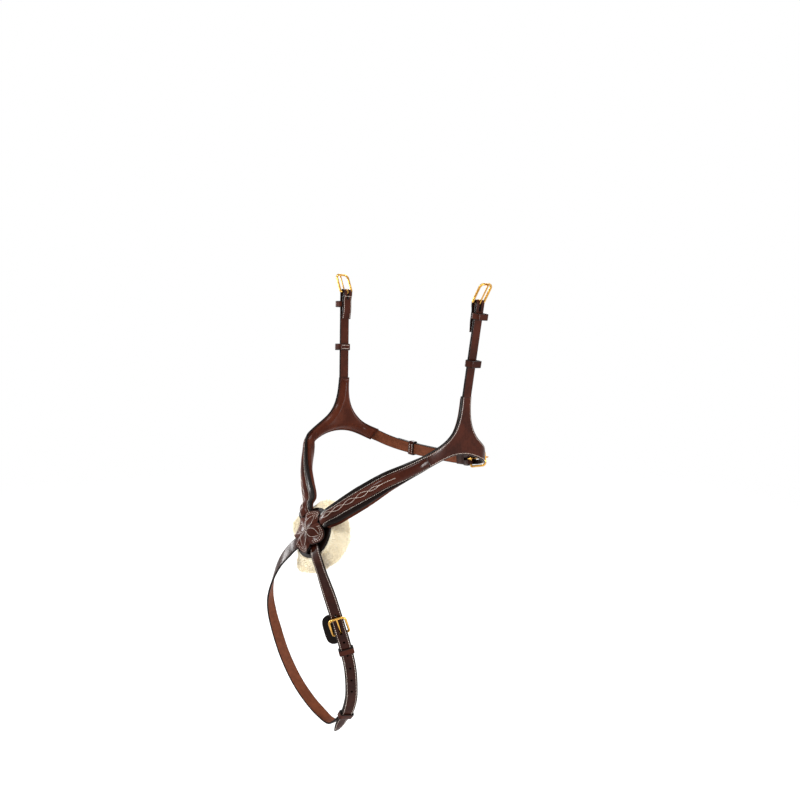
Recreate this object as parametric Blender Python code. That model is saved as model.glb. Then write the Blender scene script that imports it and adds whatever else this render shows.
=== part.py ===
"""Figure eight noseband: two cheek straps carry a padded side piece each, two padded nose straps
meet at a rosette over a fleece pad, a jaw strap runs behind and a chin loop hangs below.

Front is -Y, up is +Z and the near side is +X. The origin is midway between the two buckle bars
that the noseband hangs from."""

from math import cos, pi, radians, sin, sqrt

import bmesh
import bpy
import numpy as np
from mathutils import Vector

MM = 0.001
NEAR = 1
OFF = -1

# Leather and fits
STRAP_WIDTH = 13.0 * MM
STRAP_THICKNESS = 2.2 * MM
BILLET_THICKNESS = 2.0 * MM
EDGE_BEVEL = 0.45 * MM
SHARP_ANGLE = radians(35.0)
CLEARANCE = 0.3 * MM
SEAM_GAP = 0.5 * MM
STATION_STEP = 5.0 * MM
LEAST_STEP = 1.0 * MM
CUT_OVERRUN = 3.0 * MM
FOLD_SETTLE = 7.0 * MM
FOLD_TURNS = 8

# Cheek straps
TOP_SPREAD = 200.0 * MM
SIDE_SPREAD = 189.0 * MM
SIDE_TOP_DROP = 97.0 * MM
SIDE_TOP_FORWARD = 10.0 * MM
CHEEK_TURN_BACK = 31.0 * MM
CHEEK_KEEPER_DROP = 14.0 * MM
CHEEK_RUNNER_DROP = 63.0 * MM
BILLET_ROOM = 5.0 * MM

# Side pieces: where the three arms end, the way each arm leaves and how the arms curl inwards
SIDE_ARM_WIDTH = 14.0 * MM
SIDE_FRONT_FORWARD = 64.5 * MM
SIDE_FRONT_DROP = 158.5 * MM
SIDE_FRONT_SLOPE = radians(22.0)
SIDE_REAR_BACK = 29.5 * MM
SIDE_REAR_DROP = 168.0 * MM
SIDE_REAR_SLOPE = radians(30.0)
FRONT_CURL_FROM = 35.0 * MM
FRONT_CURL_RADIUS = 106.0 * MM
REAR_CURL_FROM = 11.0 * MM
REAR_CURL_RADIUS = 18.0 * MM
FRONT_EDGE_SHARES = (0.55, 0.48)
REAR_EDGE_SHARES = (0.52, 0.42)
ARCH_EDGE_SHARES = (0.42, 0.40)
EDGE_POINTS = 13

# Padding and lining behind the side pieces and nose straps
LINING_THICKNESS = 1.0 * MM
LINING_RIM = 2.0 * MM
PAD_SHOULDER = 1.0 * MM
PAD_SLOPE = 2.6 * MM
SIDE_CROWN = 3.6 * MM
NOSE_CROWN = 4.2 * MM
NOSE_END_CROWN = 0.6 * MM
NOSE_RIM_RISE = 0.4 * MM
NOSE_NOTCH_RISE = 0.8 * MM
NOSE_TAPER_FROM = 43.0 * MM
NOSE_TAPER_LENGTH = 34.5 * MM
PAD_END_INSET = 3.0 * MM

# Nose straps
NOSE_WIDTH = 21.5 * MM
ROSETTE_END_WIDTH = 18.0 * MM
TAB_WIDTH = 11.4 * MM
RAISED_WIDTH = 10.5 * MM
RAISED_HEIGHT = 3.0 * MM
RAISED_EDGE = 0.9 * MM
RAISED_END_SHARE = 0.35
RAISED_BROW_SHARE = 0.6
RAISED_BROW_RISE_SHARE = 0.67
RAISED_CREST_SHARE = 0.2
NOSE_WIDTH_SHARES = ((0.0, 0.0), (0.28, 0.55), (0.6, 1.0))
NEAR_NOSE_SHARES = (
    (0.10, 0.30, 0.14), (0.25, 0.54, 0.28), (0.44, 0.71, 0.47), (0.62, 0.83, 0.64), (0.82, 0.94, 0.83),
)
OFF_NOSE_SHARES = (
    (0.13, 0.21, 0.26), (0.33, 0.42, 0.46), (0.57, 0.62, 0.68), (0.82, 0.81, 0.87),
)

# Rosette
ROSETTE_FORWARD = 140.5 * MM
ROSETTE_DROP = 235.0 * MM
ROSETTE_TILT = radians(24.0)
ROSETTE_TURN = radians(-6.0)
COVER_LOBE_RADIUS = 23.0 * MM
COVER_NOTCH_RADIUS = 16.0 * MM
COVER_THICKNESS = 1.8 * MM
COVER_HEIGHT = 9.0 * MM
COVER_ARCH_HEIGHT = 6.4 * MM
COVER_ARCH_SHARE = 0.62
COVER_SEGMENTS = 48
COVER_DOME_POWER = 2.2
COVER_RING_SHARES = (0.22, 0.45, 0.66, 0.84, 1.0)
BASE_RADIUS = 26.5 * MM
BASE_THICKNESS = 2.4 * MM
TAB_END_RADIUS = 10.5 * MM
PAD_END_RADIUS = 21.0 * MM
RAISED_END_RADIUS = 20.6 * MM
SEGMENTS = 32

# Fleece pad
FLEECE_RADIUS = 38.5 * MM
FLEECE_THICKNESS = 11.0 * MM
FLEECE_WRAP_RADIUS = 62.0 * MM
FLEECE_EDGE = 4.0 * MM
FLEECE_BACK_EDGE = 1.3 * MM
FLEECE_FALL = 8.5 * MM
FLEECE_FRONT_SHARES = (0.82, 0.5, 0.0)
FLEECE_BACK_SHARES = (0.35, 0.7)

# Jaw strap
JAW_BACK = 43.0 * MM
JAW_DROP = 180.0 * MM
JAW_BEND_SHARES = ((-0.80, 0.50), (-0.46, 0.88), (0.0, 1.0), (0.46, 0.88), (0.80, 0.50))
JAW_BAR_SHARE = 0.15
JAW_TURN_BACK = 24.0 * MM
JAW_KEEPER_FROM_BAR = 11.0 * MM
JAW_RUNNER_SHARE = 0.70
JAW_TIP_SHARE = 0.86
JAW_TIP_RADIUS = 400.0 * MM
JAW_SEAM_GAP = 2.4 * MM

# Chin loop
CHIN_SPREAD = 66.0 * MM
CHIN_DROP = 221.0 * MM
CHIN_LEAN = 28.0 * MM
CHIN_TURN_BACK = 30.0 * MM
CHIN_BAR_SHARE = 0.220
CHIN_KEEPER_FROM_BAR = 19.0 * MM
CHIN_RUNNER_SHARE = 0.434
CHIN_TIP_SHARE = 0.480
CHIN_TIP_RADIUS = 26.0 * MM
CHIN_EXIT_HEIGHT = 1.0 * MM
CHIN_RIM_HEIGHT = 0.9 * MM
GUARD_WIDTH = 23.0 * MM
GUARD_LENGTH = 34.0 * MM
GUARD_THICKNESS = 1.6 * MM
GUARD_SHIFT = 5.5 * MM
GUARD_BELOW_SHARE = 0.37
GUARD_END_SHARE = 0.28
GUARD_STEP_SHARES = (0.03, 0.10, 0.90, 0.97)
# Across, back and down as shares of the loop's spread, lean and drop, then the way the outside faces
CHIN_SHARES = (
    ((-0.58, -0.39, 0.163), (-0.46, -0.86, 0.22)),
    ((-0.77, -0.45, 0.266), (-0.75, -0.65, 0.04)),
    ((-0.89, -0.385, 0.362), (-0.92, -0.38, -0.04)),
    ((-0.945, -0.21, 0.457), (-0.96, -0.12, -0.14)),
    ((-0.95, -0.01, 0.547), (-0.95, 0.01, -0.22)),
    ((-0.855, 0.225, 0.688), (-0.91, 0.06, -0.38)),
    ((-0.58, 0.55, 0.856), (-0.82, 0.14, -0.54)),
    ((-0.30, 0.82, 0.950), (-0.66, 0.16, -0.72)),
    ((-0.07, 0.96, 0.988), (-0.20, 0.00, -0.98)),
    ((0.195, 1.01, 0.938), (0.52, -0.28, -0.80)),
    ((0.41, 0.94, 0.828), (0.78, -0.50, -0.36)),
    ((0.51, 0.77, 0.731), (0.80, -0.58, -0.12)),
    ((0.575, 0.55, 0.623), (0.79, -0.61, 0.00)),
    ((0.57, 0.34, 0.521), (0.78, -0.62, 0.03)),
    ((0.545, 0.12, 0.424), (0.76, -0.65, 0.05)),
    ((0.505, -0.185, 0.290), (0.68, -0.72, 0.08)),
)

# Keepers
KEEPER_THICKNESS = 1.3 * MM
KEEPER_LENGTH = 7.0 * MM
RUNNER_LENGTH = 7.5 * MM
KEEPER_CORNER = 0.9 * MM
KEEPER_FIT = 0.35 * MM
KEEPER_CORNER_STEPS = 2

# Buckles
WIRE_RADIUS = 1.3 * MM
FRAME_LENGTH = 21.0 * MM
FRAME_FIT = 0.8 * MM
FRAME_REST = 1.4 * MM
FRAME_CORNER = 4.5 * MM
FRAME_BAR_CORNER = 1.6 * MM
CHEEK_FRAME_LEAN = radians(22.0)
TONGUE_RADIUS = 0.85 * MM
TONGUE_OVERHANG = 1.6 * MM
TONGUE_SLOT_WIDTH = 3.2 * MM
TONGUE_SLOT_BACK = 9.0 * MM
BILLET_DESCENT = 16.5 * MM
TONGUE_EYE_SHARE = 0.80
TONGUE_EYE_STEPS = 9
TONGUE_SHARES = (0.25, 0.5, 0.75, 1.0)
CROSSING_STEPS = 160
RING_SIDES = 8
CORNER_STEPS = 4

# Billet points and holes
BILLET_POINT_LENGTH = 9.0 * MM
BILLET_POINT_SHARE = 0.30
BILLET_POINT_STEP_SHARES = (0.12, 0.4)
HOLE_SIDES = 12
HOLE_PITCH = 15.5 * MM
HOLE_RADIUS = 1.3 * MM
TONGUE_HOLE_LENGTH = 13.0 * MM
TONGUE_HOLE_WIDTH = 2.9 * MM

# How many holes lie above and below the one in use
JAW_HOLES = (0, 4)
CHIN_HOLES = (1, 5)

# Leather and metal colours, roughness and metallic value
GRAIN = ((0.060, 0.026, 0.018), 0.34, 0.0)
DYED = ((0.020, 0.011, 0.009), 0.36, 0.0)
LINING = ((0.150, 0.055, 0.034), 0.42, 0.0)
FOAM = ((0.750, 0.700, 0.560), 0.90, 0.0)
BRASS = ((0.780, 0.560, 0.230), 0.25, 1.0)
FLEECE = ((0.860, 0.800, 0.660), 0.95, 0.0)


def material(name, look):
    """A surface with the colour, roughness and metallic value of one finish."""
    colour, rough, metal = look
    made = bpy.data.materials.new(name)
    made.use_nodes = True
    shader = made.node_tree.nodes["Principled BSDF"]
    shader.inputs["Base Color"].default_value = (*colour, 1.0)
    shader.inputs["Roughness"].default_value = rough
    shader.inputs["Metallic"].default_value = metal
    return made


def place(name, mesh, look, origin=Vector()):
    """A mesh of world points as a named object whose own origin is the given point."""
    bmesh.ops.recalc_face_normals(mesh, faces=mesh.faces)
    bmesh.ops.translate(mesh, verts=mesh.verts, vec=-origin)
    data = bpy.data.meshes.new(name)
    mesh.to_mesh(data)
    mesh.free()
    data.shade_smooth()
    data.set_sharp_from_angle(angle=SHARP_ANGLE)
    data.materials.append(material(name, look))
    piece = bpy.data.objects.new(name, data)
    piece.location = origin
    bpy.context.collection.objects.link(piece)
    return piece


def loft(rings, closed=False, rising=None):
    """One closed skin through rings of points, capped at both ends unless it closes on itself. With
    the list of edges that rise across the section, layers of one route are split the same way."""
    mesh = bmesh.new()
    loops = [[mesh.verts.new(point) for point in ring] for ring in rings]
    following = loops[1:] + loops[:1] if closed else loops[1:]
    for here, there in zip(loops, following):
        for index in range(len(here)):
            after = (index + 1) % len(here)
            if rising is None:
                mesh.faces.new((here[index], here[after], there[after], there[index]))
                continue
            low, high = (index, after) if rising[index] else (after, index)
            mesh.faces.new((here[low], here[high], there[high]))
            mesh.faces.new((here[low], there[high], there[low]))
    if not closed:
        mesh.faces.new(loops[0][::-1])
        mesh.faces.new(loops[-1])
    return mesh


def eased(share):
    """Nought to one with a level start and end."""
    held = min(1.0, max(0.0, share))
    return held * held * (3.0 - 2.0 * held)


class Route:
    """A smooth centreline through points, with the way its outside faces, read by distance."""

    SAMPLES = 24

    def __init__(self, points, facings, start=None, end=None):
        knots = np.array([tuple(point) for point in points])
        faces = np.array([tuple(facing) for facing in facings])
        spans = np.linalg.norm(np.diff(knots, axis=0), axis=1)
        chords = np.diff(knots, axis=0) / spans[:, None]
        slopes = np.empty_like(knots)
        slopes[0] = chords[0] if start is None else tuple(start)
        slopes[-1] = chords[-1] if end is None else tuple(end)
        before = spans[:-1, None]
        after = spans[1:, None]
        slopes[1:-1] = (chords[:-1] * after + chords[1:] * before) / (before + after)
        along = []
        ways = []
        outs = []
        for index, span in enumerate(spans):
            last = index == len(spans) - 1
            for t in np.linspace(0.0, 1.0, self.SAMPLES + last, endpoint=last):
                p, q = knots[index], knots[index + 1]
                m, n = slopes[index] * span, slopes[index + 1] * span
                along.append(
                    (2 * t**3 - 3 * t**2 + 1) * p + (t**3 - 2 * t**2 + t) * m
                    + (3 * t**2 - 2 * t**3) * q + (t**3 - t**2) * n
                )
                ways.append(
                    (6 * t**2 - 6 * t) * (p - q) + (3 * t**2 - 4 * t + 1) * m + (3 * t**2 - 2 * t) * n
                )
                outs.append(faces[index] * (1 - t) + faces[index + 1] * t)
        self.points = np.array(along)
        self.ways = np.array(ways) / np.linalg.norm(ways, axis=1)[:, None]
        self.outs = np.array(outs)
        steps = np.linalg.norm(np.diff(self.points, axis=0), axis=1)
        self.marks = np.concatenate([[0.0], np.cumsum(steps)])
        self.length = self.marks[-1]

    def read(self, table, s):
        return Vector([float(np.interp(s, self.marks, table[:, axis])) for axis in range(3)])

    def frame(self, s):
        """The point at a distance, the way along, across and out of the strap there."""
        way = self.read(self.ways, s).normalized()
        out = self.read(self.outs, s)
        out = (out - way * out.dot(way)).normalized()
        point = self.read(self.points, s) + way * (min(0.0, s) + max(0.0, s - self.length))
        return point, way, out.cross(way), out

    def at(self, s, across=0.0, out=0.0):
        """A point beside the route."""
        point, _, side, outward = self.frame(s)
        return point + side * across + outward * out

    def stations(self, first, last):
        """Distances a step apart between two ends, on marks that every piece of the route shares."""
        inner = np.arange(np.ceil(first / STATION_STEP), np.floor(last / STATION_STEP) + 1) * STATION_STEP
        inner = [float(s) for s in inner if first + LEAST_STEP < s < last - LEAST_STEP]
        return [first, *inner, last]


def strap_section(width, low, high):
    """A flat strap's section with bevelled edges, as points across and out."""
    half = width / 2
    bevel = EDGE_BEVEL
    return [
        (-half + bevel, low), (half - bevel, low), (half, low + bevel), (half, high - bevel),
        (half - bevel, high), (-half + bevel, high), (-half, high - bevel), (-half, low + bevel),
    ]


def rising_edges(section):
    """Which edges of a section go from a lower to a higher place across."""
    return [after[0] > point[0] for point, after in zip(section, section[1:] + section[:1])]


def ribbon(route, distances, section):
    """A skin along a route through the section that each distance has."""
    rings = [[route.at(s, across, out) for across, out in section(s)] for s in distances]
    return loft(rings, False, rising_edges(section(distances[0])))


# Buckles
FOLD_RADIUS = WIRE_RADIUS + CLEARANCE + STRAP_THICKNESS / 2
LAYER_SPACING = STRAP_THICKNESS + KEEPER_THICKNESS + 2 * CLEARANCE
BILLET_LEVEL = STRAP_THICKNESS / 2 + CLEARANCE + BILLET_THICKNESS / 2
FRAME_HALF_WIDTH = STRAP_WIDTH / 2 + FRAME_FIT + WIRE_RADIUS
TONGUE_LIFT = WIRE_RADIUS + CLEARANCE + TONGUE_RADIUS


def folded_strap(name, route, first, bar, turn_back):
    """A strap whose end wraps the buckle bar and comes back inside, slotted for the tongue."""
    deep = STRAP_THICKNESS / 2
    flat = strap_section(STRAP_WIDTH, -deep, deep)
    rings = [[route.at(s, *point) for point in flat] for s in route.stations(first, bar)]
    centre, way, side, out = route.frame(bar)
    centre = centre - out * FOLD_RADIUS
    for step in range(1, FOLD_TURNS):
        angle = pi * step / FOLD_TURNS
        arm = out * cos(angle) + way * sin(angle)
        rings.append([centre + side * x + arm * (FOLD_RADIUS + y) for x, y in flat])
    for s in reversed(route.stations(bar - turn_back, bar)):
        settle = eased((bar - s - FOLD_RADIUS) / FOLD_SETTLE)
        level = -2 * FOLD_RADIUS + (2 * FOLD_RADIUS - LAYER_SPACING) * settle
        rings.append([route.at(s, x, level - y) for x, y in flat])
    made = place(name, loft(rings, False, rising_edges(flat)), GRAIN)
    slot = box_between(
        centre, way, side, out,
        (-TONGUE_SLOT_BACK, FOLD_RADIUS + STRAP_THICKNESS + CUT_OVERRUN),
        (-TONGUE_SLOT_WIDTH / 2, TONGUE_SLOT_WIDTH / 2),
        (-2 * FOLD_RADIUS - CUT_OVERRUN, FOLD_RADIUS + STRAP_THICKNESS / 2 + CUT_OVERRUN),
    )
    cut(made, slot)


def box_between(centre, way, side, out, ways, sides, outs):
    """A box in a strap's own directions."""
    def corners(x):
        return [
            centre + way * x + side * y + out * z
            for y, z in ((sides[0], outs[0]), (sides[1], outs[0]), (sides[1], outs[1]), (sides[0], outs[1]))
        ]
    return loft([corners(ways[0]), corners(ways[1])])


def cut(piece, mesh):
    """A mesh cut out of a piece."""
    bmesh.ops.recalc_face_normals(mesh, faces=mesh.faces)
    data = bpy.data.meshes.new(piece.name + "_cutter")
    mesh.to_mesh(data)
    mesh.free()
    cutter = bpy.data.objects.new(data.name, data)
    cutter.hide_render = True
    cutter.display_type = "WIRE"
    bpy.context.collection.objects.link(cutter)
    tool = piece.modifiers.new("cut", "BOOLEAN")
    tool.operation = "DIFFERENCE"
    tool.object = cutter


def tube(path, radius, closed=False, across=None):
    """A round wire along points, with a fixed direction across its plane."""
    rings = []
    count = len(path)
    for index, point in enumerate(path):
        ahead = path[(index + 1) % count] if closed or index + 1 < count else point
        behind = path[index - 1] if closed or index else point
        way = (ahead - behind).normalized()
        flat = way.cross(across)
        rings.append([
            point + flat * (radius * cos(angle)) + across * (radius * sin(angle))
            for angle in (2 * pi * turn / RING_SIDES for turn in range(RING_SIDES))
        ])
    return loft(rings, closed)


def rounded(corners, radii, steps=CORNER_STEPS):
    """Points round a flat outline whose corners are arcs."""
    points = []
    for index, corner in enumerate(corners):
        before = (corners[index - 1] - corner).normalized()
        after = (corners[(index + 1) % len(corners)] - corner).normalized()
        reach = radii[index]
        middle = corner + (before + after) * reach
        for step in range(steps + 1):
            angle = pi / 2 * step / steps
            points.append(middle - after * (reach * cos(angle)) - before * (reach * sin(angle)))
    return points


def buckle(name, bar, way, side, out):
    """A brass frame whose wire bar the strap wraps, and the tongue that turns on the same bar."""
    half = FRAME_HALF_WIDTH
    corners = [
        bar - side * half, bar - side * half + way * FRAME_LENGTH,
        bar + side * half + way * FRAME_LENGTH, bar + side * half,
    ]
    radii = (FRAME_BAR_CORNER, FRAME_CORNER, FRAME_CORNER, FRAME_BAR_CORNER)
    frame = tube(rounded(corners, radii), WIRE_RADIUS, True, out)
    place(name + "_buckle_frame", frame, BRASS, bar)
    tip = FRAME_LENGTH + WIRE_RADIUS + TONGUE_OVERHANG
    path = []
    for step in range(TONGUE_EYE_STEPS + 1):
        angle = pi / 2 + 2 * pi * TONGUE_EYE_SHARE * (1 - step / TONGUE_EYE_STEPS)
        path.append(bar + way * (TONGUE_LIFT * cos(angle)) + out * (TONGUE_LIFT * sin(angle)))
    for share in TONGUE_SHARES:
        path.append(bar + way * (tip * share) + out * TONGUE_LIFT)
    tongue = tube(path, TONGUE_RADIUS, False, side)
    place(name + "_buckle_tongue", tongue, BRASS, bar)


def keeper(name, route, middle, length, low, high):
    """A leather loop round a strap, from one level to another."""
    def loop(grow):
        half = STRAP_WIDTH / 2 + KEEPER_FIT + grow
        bottom = low - grow
        top = high + grow
        places = ((-half, bottom), (half, bottom), (half, top), (-half, top))
        corners = [Vector(point) for point in places]
        return rounded(corners, (KEEPER_CORNER + grow,) * len(corners), KEEPER_CORNER_STEPS)
    ends = (middle - length / 2, middle + length / 2)
    rings = []
    for inner, outer in zip(loop(0.0), loop(KEEPER_THICKNESS)):
        rings.append([
            route.at(ends[0], inner.x, inner.y), route.at(ends[1], inner.x, inner.y),
            route.at(ends[1], outer.x, outer.y), route.at(ends[0], outer.x, outer.y),
        ])
    place(name, loft(rings, True), GRAIN, route.at(middle))


def billet_level(bar):
    """How far a billet stands off the route: over the folded strap below the bar, down on it above."""
    def level(s):
        return BILLET_LEVEL * (1 - eased((s - bar - FOLD_RADIUS - STRAP_THICKNESS / 2) / BILLET_DESCENT))
    return level


def held_directions(route, bar):
    """The bar's centre and the buckle's way, side and out when its front lies on the billet."""
    centre, _, side, out = route.frame(bar)
    centre = centre - out * FOLD_RADIUS
    front = bar + FRAME_LENGTH
    over = billet_level(bar)(front) + BILLET_THICKNESS / 2 + FRAME_REST + WIRE_RADIUS
    way = (route.at(front, 0.0, over) - centre).normalized()
    side = (side - way * side.dot(way)).normalized()
    return centre, way, side, way.cross(side)


def tongue_crossing(route, bar):
    """Where the straight tongue goes through the billet on its way to the frame's front."""
    centre, _, _, out = held_directions(route, bar)
    level = billet_level(bar)
    front = bar + FRAME_LENGTH
    for s in np.linspace(bar, front, CROSSING_STEPS).tolist():
        if (route.at(s, 0.0, level(s)) - centre).dot(out) < TONGUE_LIFT:
            return s
    return front


def billet(name, route, tip, last, bar, holes_at, free_from, free_radius):
    """A strap that passes through a buckle and lies outside the other strap, with its holes. Its tip
    springs away from the other strap past the runner."""
    held = billet_level(bar)
    def level(s):
        return held(s) + max(0.0, free_from - s)**2 / (2 * free_radius)
    def section(s):
        share = min(1.0, max(0.0, (s - tip) / BILLET_POINT_LENGTH))
        blunt = BILLET_POINT_SHARE + (1 - BILLET_POINT_SHARE) * sqrt(share * (2 - share))
        middle = level(s)
        return strap_section(
            STRAP_WIDTH * blunt, middle - BILLET_THICKNESS / 2, middle + BILLET_THICKNESS / 2,
        )
    point = {tip + BILLET_POINT_LENGTH * share for share in BILLET_POINT_STEP_SHARES}
    distances = sorted(set(route.stations(tip, last)) | point)
    made = place(name, ribbon(route, distances, section), GRAIN)
    holes = bmesh.new()
    for s in holes_at:
        add_hole(holes, route, s, level(s), HOLE_RADIUS, 0.0)
    crossing = tongue_crossing(route, bar)
    stretch = (TONGUE_HOLE_LENGTH - TONGUE_HOLE_WIDTH) / 2
    add_hole(holes, route, crossing, level(crossing), TONGUE_HOLE_WIDTH / 2, stretch)
    cut(made, holes)


def add_hole(mesh, route, s, level, radius, stretch):
    """A round or drawn-out hole's cutter, square through the strap."""
    point, way, side, out = route.frame(s)
    rings = []
    for depth in (-BILLET_THICKNESS, BILLET_THICKNESS):
        ring = []
        for turn in range(HOLE_SIDES):
            angle = 2 * pi * turn / HOLE_SIDES
            along = radius * cos(angle) + (stretch if cos(angle) > 0 else -stretch)
            spot = point + way * along + side * (radius * sin(angle)) + out * (level + depth)
            ring.append(mesh.verts.new(spot))
        rings.append(ring)
    bottom, top = rings
    for index in range(HOLE_SIDES):
        after = (index + 1) % HOLE_SIDES
        mesh.faces.new((bottom[index], bottom[after], top[after], top[index]))
    mesh.faces.new(bottom[::-1])
    mesh.faces.new(top)


# Side pieces
def curl(y):
    """How far the side surface has come in towards the middle, and its slope along Y."""
    ahead = max(0.0, -y - FRONT_CURL_FROM)
    behind = max(0.0, y - REAR_CURL_FROM)
    drop = ahead**2 / (2 * FRONT_CURL_RADIUS) + behind**2 / (2 * REAR_CURL_RADIUS)
    return drop, ahead / FRONT_CURL_RADIUS - behind / REAR_CURL_RADIUS


def side_point(hand, y, z, out=0.0):
    """A point on the side surface, or off it, and the way the surface faces."""
    drop, slope = curl(y)
    facing = Vector((1.0, -slope, 0.0)).normalized()
    point = Vector((SIDE_SPREAD / 2 - drop, y, z)) + facing * out
    return Vector((hand * point.x, point.y, point.z)), Vector((hand * facing.x, facing.y, facing.z))


ARMS = {
    "top": (
        Vector((-SIDE_TOP_FORWARD, -SIDE_TOP_DROP)),
        Vector((SIDE_TOP_FORWARD, SIDE_TOP_DROP)).normalized(),
    ),
    "front": (
        Vector((-SIDE_FRONT_FORWARD, -SIDE_FRONT_DROP)),
        Vector((-cos(SIDE_FRONT_SLOPE), -sin(SIDE_FRONT_SLOPE))),
    ),
    "rear": (
        Vector((SIDE_REAR_BACK, -SIDE_REAR_DROP)),
        Vector((cos(SIDE_REAR_SLOPE), -sin(SIDE_REAR_SLOPE))),
    ),
}


def arm_corners(arm):
    """The two corners of an arm's end, to the left and right of its way out."""
    centre, way = ARMS[arm]
    left = Vector((-way.y, way.x)) * (SIDE_ARM_WIDTH / 2)
    return centre + left, centre - left


def edge_curve(start, start_way, end, end_way, shares):
    """Points of a smooth edge between two arms, both ends included."""
    span = (end - start).length
    first = start - start_way * (span * shares[0])
    second = end - end_way * (span * shares[1])
    points = []
    for step in range(EDGE_POINTS):
        t = step / (EDGE_POINTS - 1)
        points.append(
            start * (1 - t)**3 + first * (3 * t * (1 - t)**2) + second * (3 * t**2 * (1 - t)) + end * t**3
        )
    return points


def side_outline():
    """The Y of a side piece, flat, as points back and up."""
    top_left, top_right = arm_corners("top")
    front_left, front_right = arm_corners("front")
    rear_left, rear_right = arm_corners("rear")
    ways = {name: way for name, (_, way) in ARMS.items()}
    return (
        edge_curve(top_left, ways["top"], front_right, ways["front"], FRONT_EDGE_SHARES)
        + edge_curve(front_left, ways["front"], rear_right, ways["rear"], ARCH_EDGE_SHARES)
        + edge_curve(rear_left, ways["rear"], top_right, ways["top"], REAR_EDGE_SHARES)
    )


def inset(outline, distance):
    """The outline drawn in by a distance."""
    drawn = []
    count = len(outline)
    for index, point in enumerate(outline):
        before = (point - outline[index - 1]).normalized()
        after = (outline[(index + 1) % count] - point).normalized()
        left = Vector((-before.y, before.x)) + Vector((-after.y, after.x))
        drawn.append(point + left * (2 * distance / left.length_squared))
    return drawn


def fill_arms(mesh, ring):
    """Faces across a ring that follows the side outline: a ladder up each arm and a middle triangle."""
    edges = [ring[first:first + EDGE_POINTS] for first in range(0, len(ring), EDGE_POINTS)]
    middle = EDGE_POINTS // 2
    for left, right in zip(edges, edges[1:] + edges[:1]):
        back = left[::-1]
        for rung in range(middle):
            mesh.faces.new((back[rung], right[rung], right[rung + 1]))
            mesh.faces.new((back[rung], right[rung + 1], back[rung + 1]))
    mesh.faces.new([edge[middle] for edge in edges])


def draped_plate(name, hand, outline, profile, look):
    """A plate on the side surface whose rim follows a profile of insets and levels, inner face first."""
    mesh = bmesh.new()
    rings = []
    for distance, level in profile:
        flat = inset(outline, distance)
        rings.append([mesh.verts.new(side_point(hand, p.x, p.y, level)[0]) for p in flat])
    for here, there in zip(rings, rings[1:]):
        for index in range(len(here)):
            after = (index + 1) % len(here)
            mesh.faces.new((here[index], here[after], there[after], there[index]))
    fill_arms(mesh, rings[0])
    fill_arms(mesh, rings[-1])
    place(name, mesh, look)


def side_pieces():
    """Outer leather, foam and lining of the two side pieces."""
    outline = side_outline()
    deep = STRAP_THICKNESS / 2
    bevel = EDGE_BEVEL
    under = -deep - CLEARANCE
    crown = under - PAD_SHOULDER - SIDE_CROWN
    pad_in = LINING_RIM + CLEARANCE
    inner = pad_in + PAD_SLOPE
    leather = ((bevel, -deep), (0.0, bevel - deep), (0.0, deep - bevel), (bevel, deep))
    pad = ((inner, crown), (pad_in, under - PAD_SHOULDER), (pad_in, under))
    skin = (
        (inner, crown - CLEARANCE - LINING_THICKNESS), (0.0, under - LINING_THICKNESS), (0.0, under),
        (LINING_RIM, under), (LINING_RIM, under - PAD_SHOULDER - CLEARANCE), (inner, crown - CLEARANCE),
    )
    for word, hand in (("near", NEAR), ("off", OFF)):
        draped_plate(word + "_side_piece", hand, outline, leather, GRAIN)
        draped_plate(word + "_side_padding", hand, outline, pad, FOAM)
        draped_plate(word + "_side_lining", hand, outline, skin, LINING)


# Rosette
def rosette_axes():
    """The rosette's own directions: across, up its face, and out of it."""
    out = Vector((
        sin(ROSETTE_TURN) * cos(ROSETTE_TILT), -cos(ROSETTE_TURN) * cos(ROSETTE_TILT), sin(ROSETTE_TILT),
    ))
    across = Vector((cos(ROSETTE_TURN), sin(ROSETTE_TURN), 0.0))
    return across, out.cross(across), out


ACROSS, UPWARD, OUTWARD = rosette_axes()
ROSETTE = Vector((0.0, -ROSETTE_FORWARD, -ROSETTE_DROP))


def on_rosette(right, up, out):
    """A point by its place on the rosette's face."""
    return ROSETTE + ACROSS * right + UPWARD * up + OUTWARD * out


def notch_point(right, up, radius, out):
    """A point on the diagonal of one notch of the cover."""
    share = sqrt(0.5)
    return on_rosette(right * share * radius, up * share * radius, out)


def disc(rings, segments, name, look):
    """A closed turned or lobed piece from rings of radius and level functions of the angle."""
    mesh = bmesh.new()
    loops = []
    for reach, level in rings:
        loop = []
        for turn in range(segments):
            angle = 2 * pi * turn / segments
            radius = reach(angle)
            loop.append(mesh.verts.new(on_rosette(radius * cos(angle), radius * sin(angle), level(angle))))
        loops.append(loop)
    for here, there in zip(loops, loops[1:]):
        for index in range(segments):
            after = (index + 1) % segments
            mesh.faces.new((here[index], here[after], there[after], there[index]))
    mesh.faces.new(loops[0][::-1])
    mesh.faces.new(loops[-1])
    place(name, mesh, look)


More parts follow.
